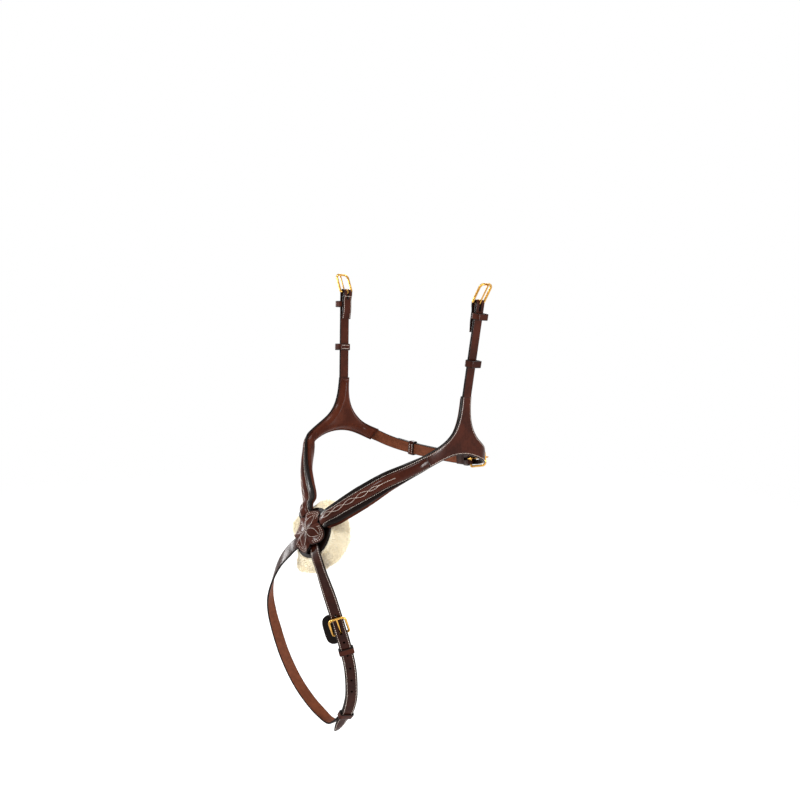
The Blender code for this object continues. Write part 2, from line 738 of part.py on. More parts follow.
def rosette_cover():
    """The domed leather with four lobes, arched where the straps come out."""
    def petal(angle):
        return abs(cos(2 * angle))
    def edge(angle):
        return COVER_NOTCH_RADIUS + (COVER_LOBE_RADIUS - COVER_NOTCH_RADIUS) * petal(angle)
    def rim(angle):
        down = max(0.0, petal(angle) - COVER_ARCH_SHARE) / (1 - COVER_ARCH_SHARE)
        seat = CLEARANCE + COVER_THICKNESS / 2
        return COVER_ARCH_HEIGHT + (seat - COVER_ARCH_HEIGHT) * down
    def skin(share, side):
        def reach(angle):
            return share * edge(angle)
        def level(angle):
            middle = COVER_HEIGHT + (rim(angle) - COVER_HEIGHT) * share**COVER_DOME_POWER
            return middle + side * COVER_THICKNESS / 2
        return reach, level
    inner = [skin(share, -1) for share in COVER_RING_SHARES]
    outer = [skin(share, 1) for share in reversed(COVER_RING_SHARES)]
    disc(inner + outer, COVER_SEGMENTS, "rosette_cover", GRAIN)


def rosette_base():
    """The round leather that the straps and the cover are sewn to."""
    def ring(radius, level):
        return (lambda angle: radius), (lambda angle: level)
    bevel = EDGE_BEVEL
    disc(
        [ring(BASE_RADIUS - bevel, -BASE_THICKNESS), ring(BASE_RADIUS, bevel - BASE_THICKNESS),
         ring(BASE_RADIUS, -bevel), ring(BASE_RADIUS - bevel, 0.0)],
        SEGMENTS, "rosette_base", GRAIN,
    )


def fleece_pad():
    """The round fleece that lies on the nose and wraps back round it."""
    seat = -BASE_THICKNESS - CLEARANCE
    flat = BASE_RADIUS + CLEARANCE
    def front(share):
        radius = flat + (FLEECE_RADIUS - flat) * share
        def level(angle):
            return seat - FLEECE_EDGE * share * share - FLEECE_FALL * share * abs(cos(angle))
        return (lambda angle: radius), level
    def back(radius, lift):
        def level(angle):
            wrap = (radius * cos(angle))**2 / (2 * FLEECE_WRAP_RADIUS)
            return seat - FLEECE_THICKNESS - wrap + lift
        return (lambda angle: radius), level
    rings = [
        *(back(FLEECE_RADIUS * share, 0.0) for share in FLEECE_BACK_SHARES),
        back(FLEECE_RADIUS - FLEECE_EDGE, FLEECE_BACK_EDGE),
        back(FLEECE_RADIUS, FLEECE_THICKNESS / 2),
        *(front(share) for share in FLEECE_FRONT_SHARES),
    ]
    disc(rings, SEGMENTS, "fleece_pad", FLEECE)


# Straps
def cheek_routes():
    """The straight run of each cheek strap from the side piece up to its buckle bar."""
    routes = {}
    for word, hand in (("near", NEAR), ("off", OFF)):
        foot, _ = side_point(hand, -SIDE_TOP_FORWARD, -SIDE_TOP_DROP)
        bar = Vector((hand * TOP_SPREAD / 2, 0.0, 0.0))
        way = (bar - foot).normalized()
        facing = Vector((float(hand), 0.0, 0.0))
        lean = (facing - way * facing.dot(way)).normalized()
        head = bar + lean * FOLD_RADIUS
        routes[word] = Route([foot, head], [facing, facing])
    return routes


def cheek_straps(routes):
    """Each cheek strap with its buckle, its sewn keeper and its runner."""
    deep = STRAP_THICKNESS / 2
    low = -deep - KEEPER_FIT
    high = deep + CLEARANCE + BILLET_ROOM
    for word, route in routes.items():
        bar = route.length
        folded_strap(word + "_cheek_strap", route, SEAM_GAP, bar, CHEEK_TURN_BACK)
        keeper(word + "_cheek_keeper", route, bar - CHEEK_KEEPER_DROP, KEEPER_LENGTH, low, high)
        keeper(word + "_cheek_runner", route, bar - CHEEK_RUNNER_DROP, RUNNER_LENGTH, low, high)
        point, way, side, out = route.frame(bar)
        leaning = way * cos(CHEEK_FRAME_LEAN) + out * sin(CHEEK_FRAME_LEAN)
        buckle(word + "_cheek", point - out * FOLD_RADIUS, leaning, side, leaning.cross(side))


def nose_route(hand, shares):
    """A nose strap's centreline from its seam with the side piece to its end under the cover."""
    seam, facing = side_point(hand, -SIDE_FRONT_FORWARD, -SIDE_FRONT_DROP)
    ahead, _ = side_point(
        hand, -SIDE_FRONT_FORWARD - cos(SIDE_FRONT_SLOPE) * STATION_STEP,
        -SIDE_FRONT_DROP - sin(SIDE_FRONT_SLOPE) * STATION_STEP,
    )
    middle = STRAP_THICKNESS / 2
    laid = LINING_THICKNESS + NOSE_END_CROWN + PAD_SHOULDER + middle + 3 * CLEARANCE
    rim = notch_point(hand, 1, BASE_RADIUS + CLEARANCE, laid + NOSE_RIM_RISE)
    entry = notch_point(hand, 1, PAD_END_RADIUS, laid)
    notch = notch_point(hand, 1, COVER_NOTCH_RADIUS, CLEARANCE + middle + NOSE_NOTCH_RISE)
    end = notch_point(hand, 1, TAB_END_RADIUS, CLEARANCE + middle)
    span = entry - seam
    points = [seam]
    facings = [facing]
    for x, y, z in shares:
        points.append(seam + Vector((span.x * x, span.y * y, span.z * z)))
        turn = (x + y) / 2
        facings.append(facing * (1 - turn) + OUTWARD * turn)
    laid_points = [rim, entry, notch, end]
    points += laid_points
    facings += [OUTWARD] * len(laid_points)
    return Route(points, facings, (ahead - seam).normalized())


def shares_at(table, share):
    """A value read between the rows of a table of shares."""
    return float(np.interp(share, [row[0] for row in table], [row[1] for row in table]))


def nose_strap(word, route):
    """Outer leather, raised strip, foam and lining of one nose strap."""
    deep = STRAP_THICKNESS / 2
    under = -deep - CLEARANCE
    tab_end = route.length
    pad_end = tab_end - (PAD_END_RADIUS - TAB_END_RADIUS)
    strip_end = tab_end - (RAISED_END_RADIUS - TAB_END_RADIUS)
    foam_ends = (SEAM_GAP + PAD_END_INSET, pad_end - PAD_END_INSET)

    def full_width(s):
        widening = shares_at(NOSE_WIDTH_SHARES, s / pad_end)
        wide = SIDE_ARM_WIDTH + (NOSE_WIDTH - SIDE_ARM_WIDTH) * widening
        return wide + (ROSETTE_END_WIDTH - wide) * eased((s - pad_end) / NOSE_WIDTH + 1)

    def crown(s):
        swell = SIDE_CROWN + (NOSE_CROWN - SIDE_CROWN) * eased(s / NOSE_WIDTH)
        fall = eased((s - pad_end + NOSE_TAPER_FROM) / NOSE_TAPER_LENGTH)
        return swell + (NOSE_END_CROWN - swell) * fall

    def outer(s):
        return strap_section(TAB_WIDTH if s > pad_end else full_width(s), -deep, deep)

    def foam(s):
        floor = under - PAD_SHOULDER - crown(s)
        side = full_width(s) / 2 - LINING_RIM - CLEARANCE
        inner = side - PAD_SLOPE
        return [
            (-inner, floor), (inner, floor), (side, under - PAD_SHOULDER), (side, under),
            (-side, under), (-side, under - PAD_SHOULDER),
        ]

    def skin(s):
        half = full_width(s) / 2
        roof = under - PAD_SHOULDER - crown(s) - CLEARANCE
        side = half - LINING_RIM
        inner = side - CLEARANCE - PAD_SLOPE
        floor = roof - LINING_THICKNESS
        return [
            (-half, under), (-half, under - LINING_THICKNESS), (-inner, floor), (inner, floor),
            (half, under - LINING_THICKNESS), (half, under), (side, under),
            (side, under - PAD_SHOULDER - CLEARANCE), (inner, roof), (-inner, roof),
            (-side, under - PAD_SHOULDER - CLEARANCE), (-side, under),
        ]

    def strip(s):
        half = RAISED_WIDTH / 2
        low = deep + CLEARANCE
        ends = eased((s - SEAM_GAP) / RAISED_WIDTH) * eased((strip_end - s) / RAISED_WIDTH)
        rise = (RAISED_HEIGHT - RAISED_EDGE) * (RAISED_END_SHARE + (1 - RAISED_END_SHARE) * ends)
        edge = low + RAISED_EDGE
        brow = edge + rise * RAISED_BROW_RISE_SHARE
        slope = half * RAISED_BROW_SHARE
        crest = half * RAISED_CREST_SHARE
        return [
            (-half, low), (half, low), (half, edge), (slope, brow), (crest, edge + rise),
            (-crest, edge + rise), (-slope, brow), (-half, edge),
        ]

    body = sorted({*route.stations(SEAM_GAP, pad_end), *foam_ends})
    tab = [pad_end + CLEARANCE, *route.stations(pad_end + CLEARANCE, tab_end)[1:]]
    place(word + "_nose_strap", ribbon(route, body + tab, outer), DYED)
    place(word + "_raised_strip", ribbon(route, route.stations(SEAM_GAP, strip_end), strip), GRAIN)
    place(word + "_nose_padding", ribbon(route, route.stations(*foam_ends), foam), FOAM)
    place(word + "_nose_lining", ribbon(route, body, skin), LINING)


def jaw_route():
    """From the off rear arm, behind the jaw, to the near rear arm."""
    def arm_end(hand):
        point, facing = side_point(hand, SIDE_REAR_BACK, -SIDE_REAR_DROP)
        further, _ = side_point(
            hand, SIDE_REAR_BACK + cos(SIDE_REAR_SLOPE) * LEAST_STEP,
            -SIDE_REAR_DROP - sin(SIDE_REAR_SLOPE) * LEAST_STEP,
        )
        return point, facing, (further - point).normalized()
    off, off_facing, off_way = arm_end(OFF)
    near, near_facing, near_way = arm_end(NEAR)
    back = Vector((0.0, 1.0, 0.0))
    points = [off]
    facings = [off_facing]
    for across, depth in JAW_BEND_SHARES:
        points.append(Vector((
            near.x * across,
            near.y + (JAW_BACK - near.y) * depth,
            near.z + (-JAW_DROP - near.z) * depth,
        )))
        facings.append(back + Vector((across * abs(across), 0.0, 0.0)))
    points.append(near)
    facings.append(near_facing)
    return Route(points, facings, off_way, -near_way)


def chin_route():
    """From under the cover out on the off side, round the loop and back in on the near side."""
    height = CLEARANCE + STRAP_THICKNESS / 2
    levels = (
        (TAB_END_RADIUS, height), (COVER_NOTCH_RADIUS, height + CLEARANCE),
        (BASE_RADIUS, height + CHIN_EXIT_HEIGHT), (FLEECE_RADIUS, CHIN_RIM_HEIGHT),
    )
    points = [notch_point(-1, -1, radius, level) for radius, level in levels]
    facings = [OUTWARD] * len(levels)
    for (x, y, z), facing in CHIN_SHARES:
        points.append(ROSETTE + Vector((x * CHIN_SPREAD, y * CHIN_LEAN, -z * CHIN_DROP)))
        facings.append(Vector(facing))
    points += [notch_point(1, -1, radius, level) for radius, level in reversed(levels)]
    facings += [OUTWARD] * len(levels)
    return Route(points, facings)


def buckled_pair(word, route, bar, names, ends, turn_back, tip, tip_radius, keeper_at, runner_at, holes):
    """A folded strap, the billet through its buckle, and the two keepers that hold the billet."""
    strap_name, billet_name = names
    first, last = ends
    folded_strap(strap_name, route, first, bar, turn_back)
    crossing = tongue_crossing(route, bar)
    above, below = holes
    holes_at = [crossing + HOLE_PITCH * step for step in range(-below, above + 1) if step]
    billet(billet_name, route, tip, last, bar, holes_at, runner_at - RUNNER_LENGTH / 2, tip_radius)
    buckle(word, *held_directions(route, bar))
    low = -STRAP_THICKNESS / 2 - KEEPER_FIT
    high = BILLET_LEVEL + BILLET_THICKNESS / 2 + KEEPER_FIT
    keeper(word + "_keeper", route, keeper_at, KEEPER_LENGTH, low, high)
    keeper(word + "_runner", route, runner_at, RUNNER_LENGTH, low, high)


def jaw_straps():
    """The strap behind the jaw: the off half carries the buckle, the near half is the billet."""
    route = jaw_route()
    bar = route.length * (1 - JAW_BAR_SHARE)
    buckled_pair(
        "jaw", route, bar, ("jaw_strap", "jaw_billet"), (JAW_SEAM_GAP, route.length - JAW_SEAM_GAP),
        JAW_TURN_BACK, route.length * (1 - JAW_TIP_SHARE), JAW_TIP_RADIUS, bar - JAW_KEEPER_FROM_BAR,
        route.length * (1 - JAW_RUNNER_SHARE), JAW_HOLES,
    )


def chin_straps():
    """The chin loop: the off strap goes round to the buckle, the near billet comes down to it."""
    route = chin_route()
    bar = route.length * (1 - CHIN_BAR_SHARE)
    buckled_pair(
        "chin", route, bar, ("off_chin_strap", "near_chin_billet"), (0.0, route.length),
        CHIN_TURN_BACK, route.length * (1 - CHIN_TIP_SHARE), CHIN_TIP_RADIUS, bar - CHIN_KEEPER_FROM_BAR,
        route.length * (1 - CHIN_RUNNER_SHARE), CHIN_HOLES,
    )
    chin_guard(route, bar)


def chin_guard(route, bar):
    """The rounded flap between the buckle and the skin."""
    level = -2 * FOLD_RADIUS - STRAP_THICKNESS / 2 - CLEARANCE - GUARD_THICKNESS / 2
    first = bar - GUARD_LENGTH * GUARD_BELOW_SHARE
    last = first + GUARD_LENGTH
    def section(s):
        share = min(1.0, max(0.0, (s - first) / GUARD_LENGTH))
        bulge = sqrt(max(0.0, 1 - (2 * share - 1)**4))
        width = GUARD_WIDTH * (GUARD_END_SHARE + (1 - GUARD_END_SHARE) * bulge)
        ring = strap_section(width, level - GUARD_THICKNESS / 2, level + GUARD_THICKNESS / 2)
        return [(across + GUARD_SHIFT, out) for across, out in ring]
    ends = {first + GUARD_LENGTH * share for share in GUARD_STEP_SHARES}
    distances = sorted(set(route.stations(first, last)) | ends)
    place("chin_guard", ribbon(route, distances, section), GRAIN)


def build():
    """The whole noseband, from the buckles down."""
    for item in list(bpy.data.objects):
        bpy.data.objects.remove(item)
    cheek_straps(cheek_routes())
    side_pieces()
    nose_strap("near", nose_route(NEAR, NEAR_NOSE_SHARES))
    nose_strap("off", nose_route(OFF, OFF_NOSE_SHARES))
    rosette_cover()
    rosette_base()
    fleece_pad()
    jaw_straps()
    chin_straps()


build()
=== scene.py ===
# %% [markdown]
# # A figure eight noseband in leather, brass and fleece
# The frame holds every piece of the noseband at its real size and place. This lesson dresses it: each
# strap is lofted again with a fine rounded section, each seam gets its thread, and each surface gets a
# finish. Nothing is moved, because a new piece is made from the same sizes as the one it stands for.

from math import ceil, cos, exp, pi, radians, sin, sqrt

import bmesh
import bpy
import numpy as np
from mathutils import Matrix, Vector, noise


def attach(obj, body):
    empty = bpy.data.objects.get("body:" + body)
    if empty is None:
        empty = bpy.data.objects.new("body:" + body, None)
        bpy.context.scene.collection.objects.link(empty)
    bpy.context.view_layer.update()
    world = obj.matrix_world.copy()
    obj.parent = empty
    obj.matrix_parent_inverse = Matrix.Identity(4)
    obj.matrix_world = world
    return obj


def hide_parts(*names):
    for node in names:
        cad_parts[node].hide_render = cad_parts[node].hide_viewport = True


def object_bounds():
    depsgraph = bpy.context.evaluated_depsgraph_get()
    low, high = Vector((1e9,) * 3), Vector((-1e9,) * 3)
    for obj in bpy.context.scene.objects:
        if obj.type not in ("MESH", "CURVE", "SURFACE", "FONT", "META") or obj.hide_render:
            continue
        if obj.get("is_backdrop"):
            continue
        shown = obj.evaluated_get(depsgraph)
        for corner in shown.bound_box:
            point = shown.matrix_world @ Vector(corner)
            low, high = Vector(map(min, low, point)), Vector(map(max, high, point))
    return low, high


MM = 0.001
NEAR = 1
OFF = -1
SIDES = (("near", NEAR), ("off", OFF))
BODY = "strapwork"

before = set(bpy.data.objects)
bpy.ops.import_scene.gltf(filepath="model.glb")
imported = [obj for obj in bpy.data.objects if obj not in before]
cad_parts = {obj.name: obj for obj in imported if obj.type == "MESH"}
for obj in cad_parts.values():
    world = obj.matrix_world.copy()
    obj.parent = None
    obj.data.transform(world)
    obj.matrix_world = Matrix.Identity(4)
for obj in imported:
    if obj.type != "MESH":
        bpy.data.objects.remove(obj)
CAD_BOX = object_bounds()
print("nodes in the frame:", len(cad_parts))

# %% [markdown]
# ## Sums on sockets
# A node tree is easier to read as a formula than as a list of links. The first class wraps one socket and
# turns plus, minus, times and power into Math nodes. The second adds any other node with one method:
# its type, its settings first, then the value or link of each socket.

# %% Sockets that can be added and multiplied
class Value:
    """A socket that can stand in a Python sum."""

    def __init__(self, tree, socket):
        self.tree = tree
        self.socket = socket

    def __getitem__(self, name):
        """Another output of the same node, by its name."""
        return Value(self.tree, self.socket.node.outputs[name])

    def __add__(self, other):
        return self.tree.math("ADD", self, other)

    def __sub__(self, other):
        return self.tree.math("SUBTRACT", self, other)

    def __mul__(self, other):
        return self.tree.math("MULTIPLY", self, other)

    def __pow__(self, other):
        return self.tree.math("POWER", self, other)

    def __radd__(self, other):
        return self.tree.math("ADD", other, self)

    def __rsub__(self, other):
        return self.tree.math("SUBTRACT", other, self)

    def __rmul__(self, other):
        return self.tree.math("MULTIPLY", other, self)


class Tree:
    """A node tree that one method fills."""

    def __init__(self, tree):
        self.tree = tree
        self.tree.nodes.clear()

    def node(self, kind, settings=None, values=(), output=0):
        made = self.tree.nodes.new(kind)
        for name, value in (settings or {}).items():
            setattr(made, name, value)
        pairs = values.items() if isinstance(values, dict) else enumerate(values)
        for key, value in pairs:
            if isinstance(value, Value):
                self.tree.links.new(value.socket, made.inputs[key])
            else:
                made.inputs[key].default_value = value
        return Value(self, made.outputs[output]) if made.outputs else made

    def math(self, operation, *values):
        return self.node("ShaderNodeMath", {"operation": operation}, values)

    def vector(self, operation, *values):
        return self.node("ShaderNodeVectorMath", {"operation": operation}, values)

    def scaled(self, vector, factor):
        values = {"Vector": vector, "Scale": factor}
        return self.node("ShaderNodeVectorMath", {"operation": "SCALE"}, values)

    def step(self, value, low, high):
        """Nought below one value and one above another, with a soft step between."""
        values = {"Value": value, "From Min": low, "From Max": high}
        return self.node("ShaderNodeMapRange", {"interpolation_type": "SMOOTHSTEP"}, values)

    def near(self, value, centre, width):
        """One at a value, falling to nought on both sides of it."""
        return 1 - self.step(self.math("ABSOLUTE", value - centre), 0.0, width)

    def mix(self, share, first, second):
        return self.node("ShaderNodeMix", {"data_type": "RGBA"}, {0: share, 6: first, 7: second}, 2)

    def noise(self, place, scale, detail=3.0):
        return self.node("ShaderNodeTexNoise", values={"Vector": place, "Scale": scale, "Detail": detail})

    def place(self):
        return self.node("ShaderNodeTexCoord", output="Object")

    def stored(self, name):
        return self.node("ShaderNodeAttribute", {"attribute_name": name}, output="Fac")

    def bump(self, height, strength):
        return self.node("ShaderNodeBump", values={"Strength": strength, "Distance": MM, "Height": height})


def new_finish(name):
    """An empty material and its tree."""
    made = bpy.data.materials.new(name)
    made.use_nodes = True
    return made, Tree(made.node_tree)


def surface(tree, values):
    """The shader that a finish ends in."""
    shader = tree.node("ShaderNodeBsdfPrincipled", values=values)
    tree.node("ShaderNodeOutputMaterial", values={"Surface": shader})


print("maths on sockets is ready")

# %% [markdown]
# ## Leather
# Strap leather has a waxed grain side, a browner flesh side and an edge that is painted nearly black. One
# function covers all three, because each piece carries a UV map called skin: its first value is the
# distance from the edge in millimetres, and its second is nought on the grain side and one on the flesh
# side. A pressed crease line runs just inside the edge. Its dark line is partly the creaser's own mark and
# partly painted shade in its groove. It makes five leathers: brown; dark brown with a rust red back, which
# is darker partly as painted shade for the jaw strap and chin loop; the same with a nearly black back,
# which is painted shade at the jaw billet's end; nearly black, which is partly painted shade on the nose
# straps' lower band; and the soft red-brown of the linings.

# %% Leather finishes
EDGE_BLACK = (0.010, 0.007, 0.006, 1.0)
CREASE_AT = 0.95
CREASE_WIDTH = 0.30
CLOUD_SCALE = 42.0
MOTTLE_SCALE = 260.0
PORE_SCALE = 1500.0
WORN_SHADE = 2.6
FIBRE_SHADE = 0.72


def shade(colour, factor):
    return (*(min(1.0, factor * c) for c in colour[:3]), 1.0)


def leather(name, dark, light, flesh, roughness=0.28, coat=0.15, edge=0.55):
    """Grain, flesh and painted edge in one finish."""
    made, tree = new_finish(name)
    place = tree.place()
    rim = tree.node("ShaderNodeSeparateXYZ", values=[tree.node("ShaderNodeUVMap", {"uv_map": "skin"})])
    inside = tree.step(rim["Y"], 0.55, 0.90)
    cloud = tree.noise(place, CLOUD_SCALE, 4.0)
    mottle = tree.noise(place, MOTTLE_SCALE)
    pores = tree.node("ShaderNodeTexVoronoi", values={"Vector": place, "Scale": PORE_SCALE})
    # The crease line is darkened towards edge black: partly the creaser's own darker mark, partly painted
    # shade in its groove.
    crease_and_groove_shade = tree.near(rim, CREASE_AT, CREASE_WIDTH) * (1 - inside)
    painted = 1 - tree.step(rim, edge - 0.25, edge + 0.1)
    worn = tree.near(rim, edge + 0.2, 0.35) * tree.step(mottle, 0.50, 0.68) * 0.30
    grain = tree.mix(tree.step(cloud * 0.75 + mottle * 0.25, 0.34, 0.66), dark, light)
    grain = tree.mix(worn, grain, shade(light, WORN_SHADE))
    grain = tree.mix(crease_and_groove_shade * 0.75, grain, EDGE_BLACK)
    fibres = tree.step(mottle * 0.6 + cloud * 0.4, 0.36, 0.64)
    back = tree.mix(fibres, shade(flesh, FIBRE_SHADE), flesh)
    colour = tree.mix(painted, tree.mix(inside, grain, back), EDGE_BLACK)
    rough = roughness + (mottle - 0.5) * 0.16 + (cloud - 0.5) * 0.10 + inside * 0.20
    height = (pores * 0.030 + mottle * 0.050) * (1 + inside) - crease_and_groove_shade * 0.10
    surface(tree, {
        "Base Color": colour, "Roughness": rough, "Coat Weight": coat * (1 - inside),
        "Coat Roughness": 0.18, "Specular IOR Level": 0.03, "Normal": tree.bump(height, 0.55),
    })
    return made


BROWN = ((0.028, 0.0054, 0.0022, 1), (0.058, 0.0110, 0.0042, 1))
# Dark brown leather, darker than the brown partly as painted shade for the jaw strap and chin loop, whose
# undersides face away from the light.
DARK_BROWN = ((0.016, 0.0040, 0.0022, 1), (0.036, 0.0080, 0.0038, 1))
BLACK = ((0.0035, 0.0018, 0.0015, 1), (0.0080, 0.0030, 0.0022, 1))
RUST = (0.150, 0.046, 0.022, 1)
UMBER = (0.066, 0.018, 0.010, 1)
GRAIN = leather("grain_leather", *BROWN, UMBER)
DARK_GRAIN = leather("dark_grain_leather", *DARK_BROWN, RUST)
# Dark brown leather whose nearly black back is painted shade, for the jaw billet's end by its buckle.
BILLET_GRAIN = leather("dark_leather_with_painted_shade_back", *DARK_BROWN, BLACK[1])
# Nearly black leather for the nose straps, the rosette's base and the flap. On the nose straps its darkness
# is partly painted shade for the lower band beside the raised strip.
BLACK_GRAIN = leather("near_black_leather", *BLACK, UMBER, 0.30, 0.10)
SOFT_BROWN = (0.084, 0.0200, 0.0092, 1)
SOFT = leather("lining_leather", (0.047, 0.0100, 0.0046, 1), SOFT_BROWN, SOFT_BROWN, 0.40, 0.05, 0.35)
print("leathers:", GRAIN.name, DARK_GRAIN.name, BILLET_GRAIN.name, BLACK_GRAIN.name, SOFT.name)

# %% [markdown]
# ## Brass, thread and wool
# The buckles are solid brass, polished but handled, so roughness varies a little and fine scratches catch
# the light. The thread is waxed linen of a warm white, whose tint changes from stitch to stitch. The wool
# is cream, a little deeper at the root of each lock.

# %% Brass, thread and wool finishes
def brass():
    made, tree = new_finish("brass")
    place = tree.place()
    stretched = tree.node("ShaderNodeMapping", values={"Vector": place, "Scale": (1.0, 1.0, 0.12)})
    scratches = tree.noise(stretched, 2400.0, 2.0)
    dulled = tree.step(tree.noise(place, 90.0, 4.0), 0.42, 0.70)
    colour = tree.mix(dulled, (0.62, 0.34, 0.075, 1), (0.40, 0.20, 0.040, 1))
    rough = 0.16 + dulled * 0.16 + (scratches - 0.5) * 0.10
    normal = tree.bump(scratches * 0.02, 0.25)
    surface(tree, {"Base Color": colour, "Roughness": rough, "Metallic": 1.0, "Normal": normal})
    return made


def thread():
    made, tree = new_finish("waxed_thread")
    plies = tree.noise(tree.place(), 3200.0, 2.0)
    colour = tree.mix(tree.stored("tint"), (0.62, 0.49, 0.41, 1), (0.86, 0.76, 0.68, 1))
    surface(tree, {"Base Color": colour, "Roughness": 0.62, "Normal": tree.bump(plies * 0.06, 0.5)})
    return made


def wool():
    made, tree = new_finish("wool")
    patch = tree.step(tree.noise(tree.place(), 55.0), 0.38, 0.66)
    tip = tree.mix(patch, (0.99, 0.91, 0.73, 1), (0.99, 0.96, 0.87, 1))
    colour = tree.mix(tree.step(tree.stored("lock"), 0.0, 0.6), (0.97, 0.88, 0.68, 1), tip)
    surface(tree, {"Base Color": colour, "Roughness": 0.92, "Sheen Weight": 0.25, "Sheen Roughness": 0.5})
    return made


BRASS = brass()
THREAD = thread()
WOOL = wool()
print("other finishes:", BRASS.name, THREAD.name, WOOL.name)

# %% [markdown]
# ## Skins made from rings
# A strap, a keeper and a buckle are all rings of points joined into a skin. The ring's points carry the
# two values of the skin map, so that the finish knows the edge from the face. The caps at the ends are
# edge all over. A piece then takes the place of its node in the frame and moves with the same body.

# %% Turning rings into a piece
SHARP = radians(42.0)


def placed(name, data):
    """An object with this data, in the scene."""
    made = bpy.data.objects.new(name, data)
    bpy.context.scene.collection.objects.link(made)
    return made


def mesh_of(name, points, faces, edges=()):
    data = bpy.data.meshes.new(name)
    data.from_pydata([tuple(p) for p in points], list(edges), [tuple(f) for f in faces])
    return data


def face_out(data):
    """Turns the faces of a closed mesh outwards."""
    mesh = bmesh.new()
    mesh.from_mesh(data)
    bmesh.ops.recalc_face_normals(mesh, faces=mesh.faces)
    mesh.to_mesh(data)
    mesh.free()


def make_piece(name, points, faces, skin, finish, edge_faces=()):
    """A mesh piece with its skin map, smooth except at real corners."""
    data = mesh_of(name, points, faces)
    corners = np.zeros(len(data.loops), dtype=np.int32)
    data.loops.foreach_get("vertex_index", corners)
    values = np.array(skin, dtype=np.float32)[corners]
    for index in edge_faces:
        face = data.polygons[index]
        values[face.loop_start:face.loop_start + face.loop_total, 0] = 0.0
    data.uv_layers.new(name="skin").data.foreach_set("uv", values.ravel())
    face_out(data)
    data.shade_smooth()
    data.set_sharp_from_angle(angle=SHARP)
    data.materials.append(finish)
    return placed(name, data)


def ring_faces(rows, count, closed=False):
    """Faces between rings of equal length, each ring and its points numbered on from the last."""
    faces = []
    for row in range(rows if closed else rows - 1):
        here = row * count
        there = (row + 1) % rows * count
        for index in range(count):
            after = (index + 1) % count
            faces.append((here + index, here + after, there + after, there + index))
    return faces


def loft(name, rows, finish, closed=False):
    """A skin through rings, each with its points and their skin values, capped unless it closes."""
    count = len(rows[0][0])
    points = [point for places, _ in rows for point in places]
    skin = [value for _, values in rows for value in values]
    faces = ring_faces(len(rows), count, closed)
    caps = ()
    if not closed:
        caps = (len(faces), len(faces) + 1)
        faces += [range(count), range(len(points) - count, len(points))]
    return make_piece(name, points, faces, skin, finish, caps)


def settle(piece):
    """Turns a piece with modifiers into its plain evaluated mesh."""
    graph = bpy.context.evaluated_depsgraph_get()
    made = bpy.data.meshes.new_from_object(piece.evaluated_get(graph))
    piece.modifiers.clear()
    piece.data = made
    return piece


def dress(piece, node, *others, body=BODY):
    """Lets a piece stand for the nodes of the frame that it covers."""
    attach(piece, body)
    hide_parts(node, *others)
    return piece


def carve(piece, cutters):
    """Cuts closed meshes out of a piece and keeps the plain result."""
    for points, faces in cutters:
        data = mesh_of("cutter", points, faces)
        face_out(data)
        data.materials.append(piece.data.materials[0])
        tool = placed("cutter", data)
        modifier = piece.modifiers.new("cut", "BOOLEAN")
        modifier.object = tool
        settle(piece)
        bpy.data.objects.remove(tool)
    piece.data.set_sharp_from_angle(angle=SHARP)
    return piece


print("pieces can be lofted, cut and dressed")

# %% [markdown]
# ## Where the straps run
# Every strap follows a route: a smooth centreline through a few points, with the way that the strap's face
# looks at each of them. The routes here are those of the frame. A point of a strap is then three numbers:
# how far along, how far across and how far out.

# %% Sizes of the straps and the routes' reader
STRAP_WIDTH = 13.0 * MM
STRAP_THICKNESS = 2.2 * MM
DEEP = STRAP_THICKNESS / 2
BILLET_THICKNESS = 2.0 * MM
CLEARANCE = 0.3 * MM
ROUND_OFF = 0.75 * MM
FINE_STEP = 1.7 * MM
ROW_STEP = 1.0 * MM
END_STEPS = (0.12, 0.45, 1.0)
ROUTE_SAMPLES = 24


def eased(share):
    """Nought to one with a level start and end."""
    held = min(1.0, max(0.0, share))
    return held * held * (3.0 - 2.0 * held)


def evenly(first, last, count):
    return np.linspace(first, last, count).tolist()


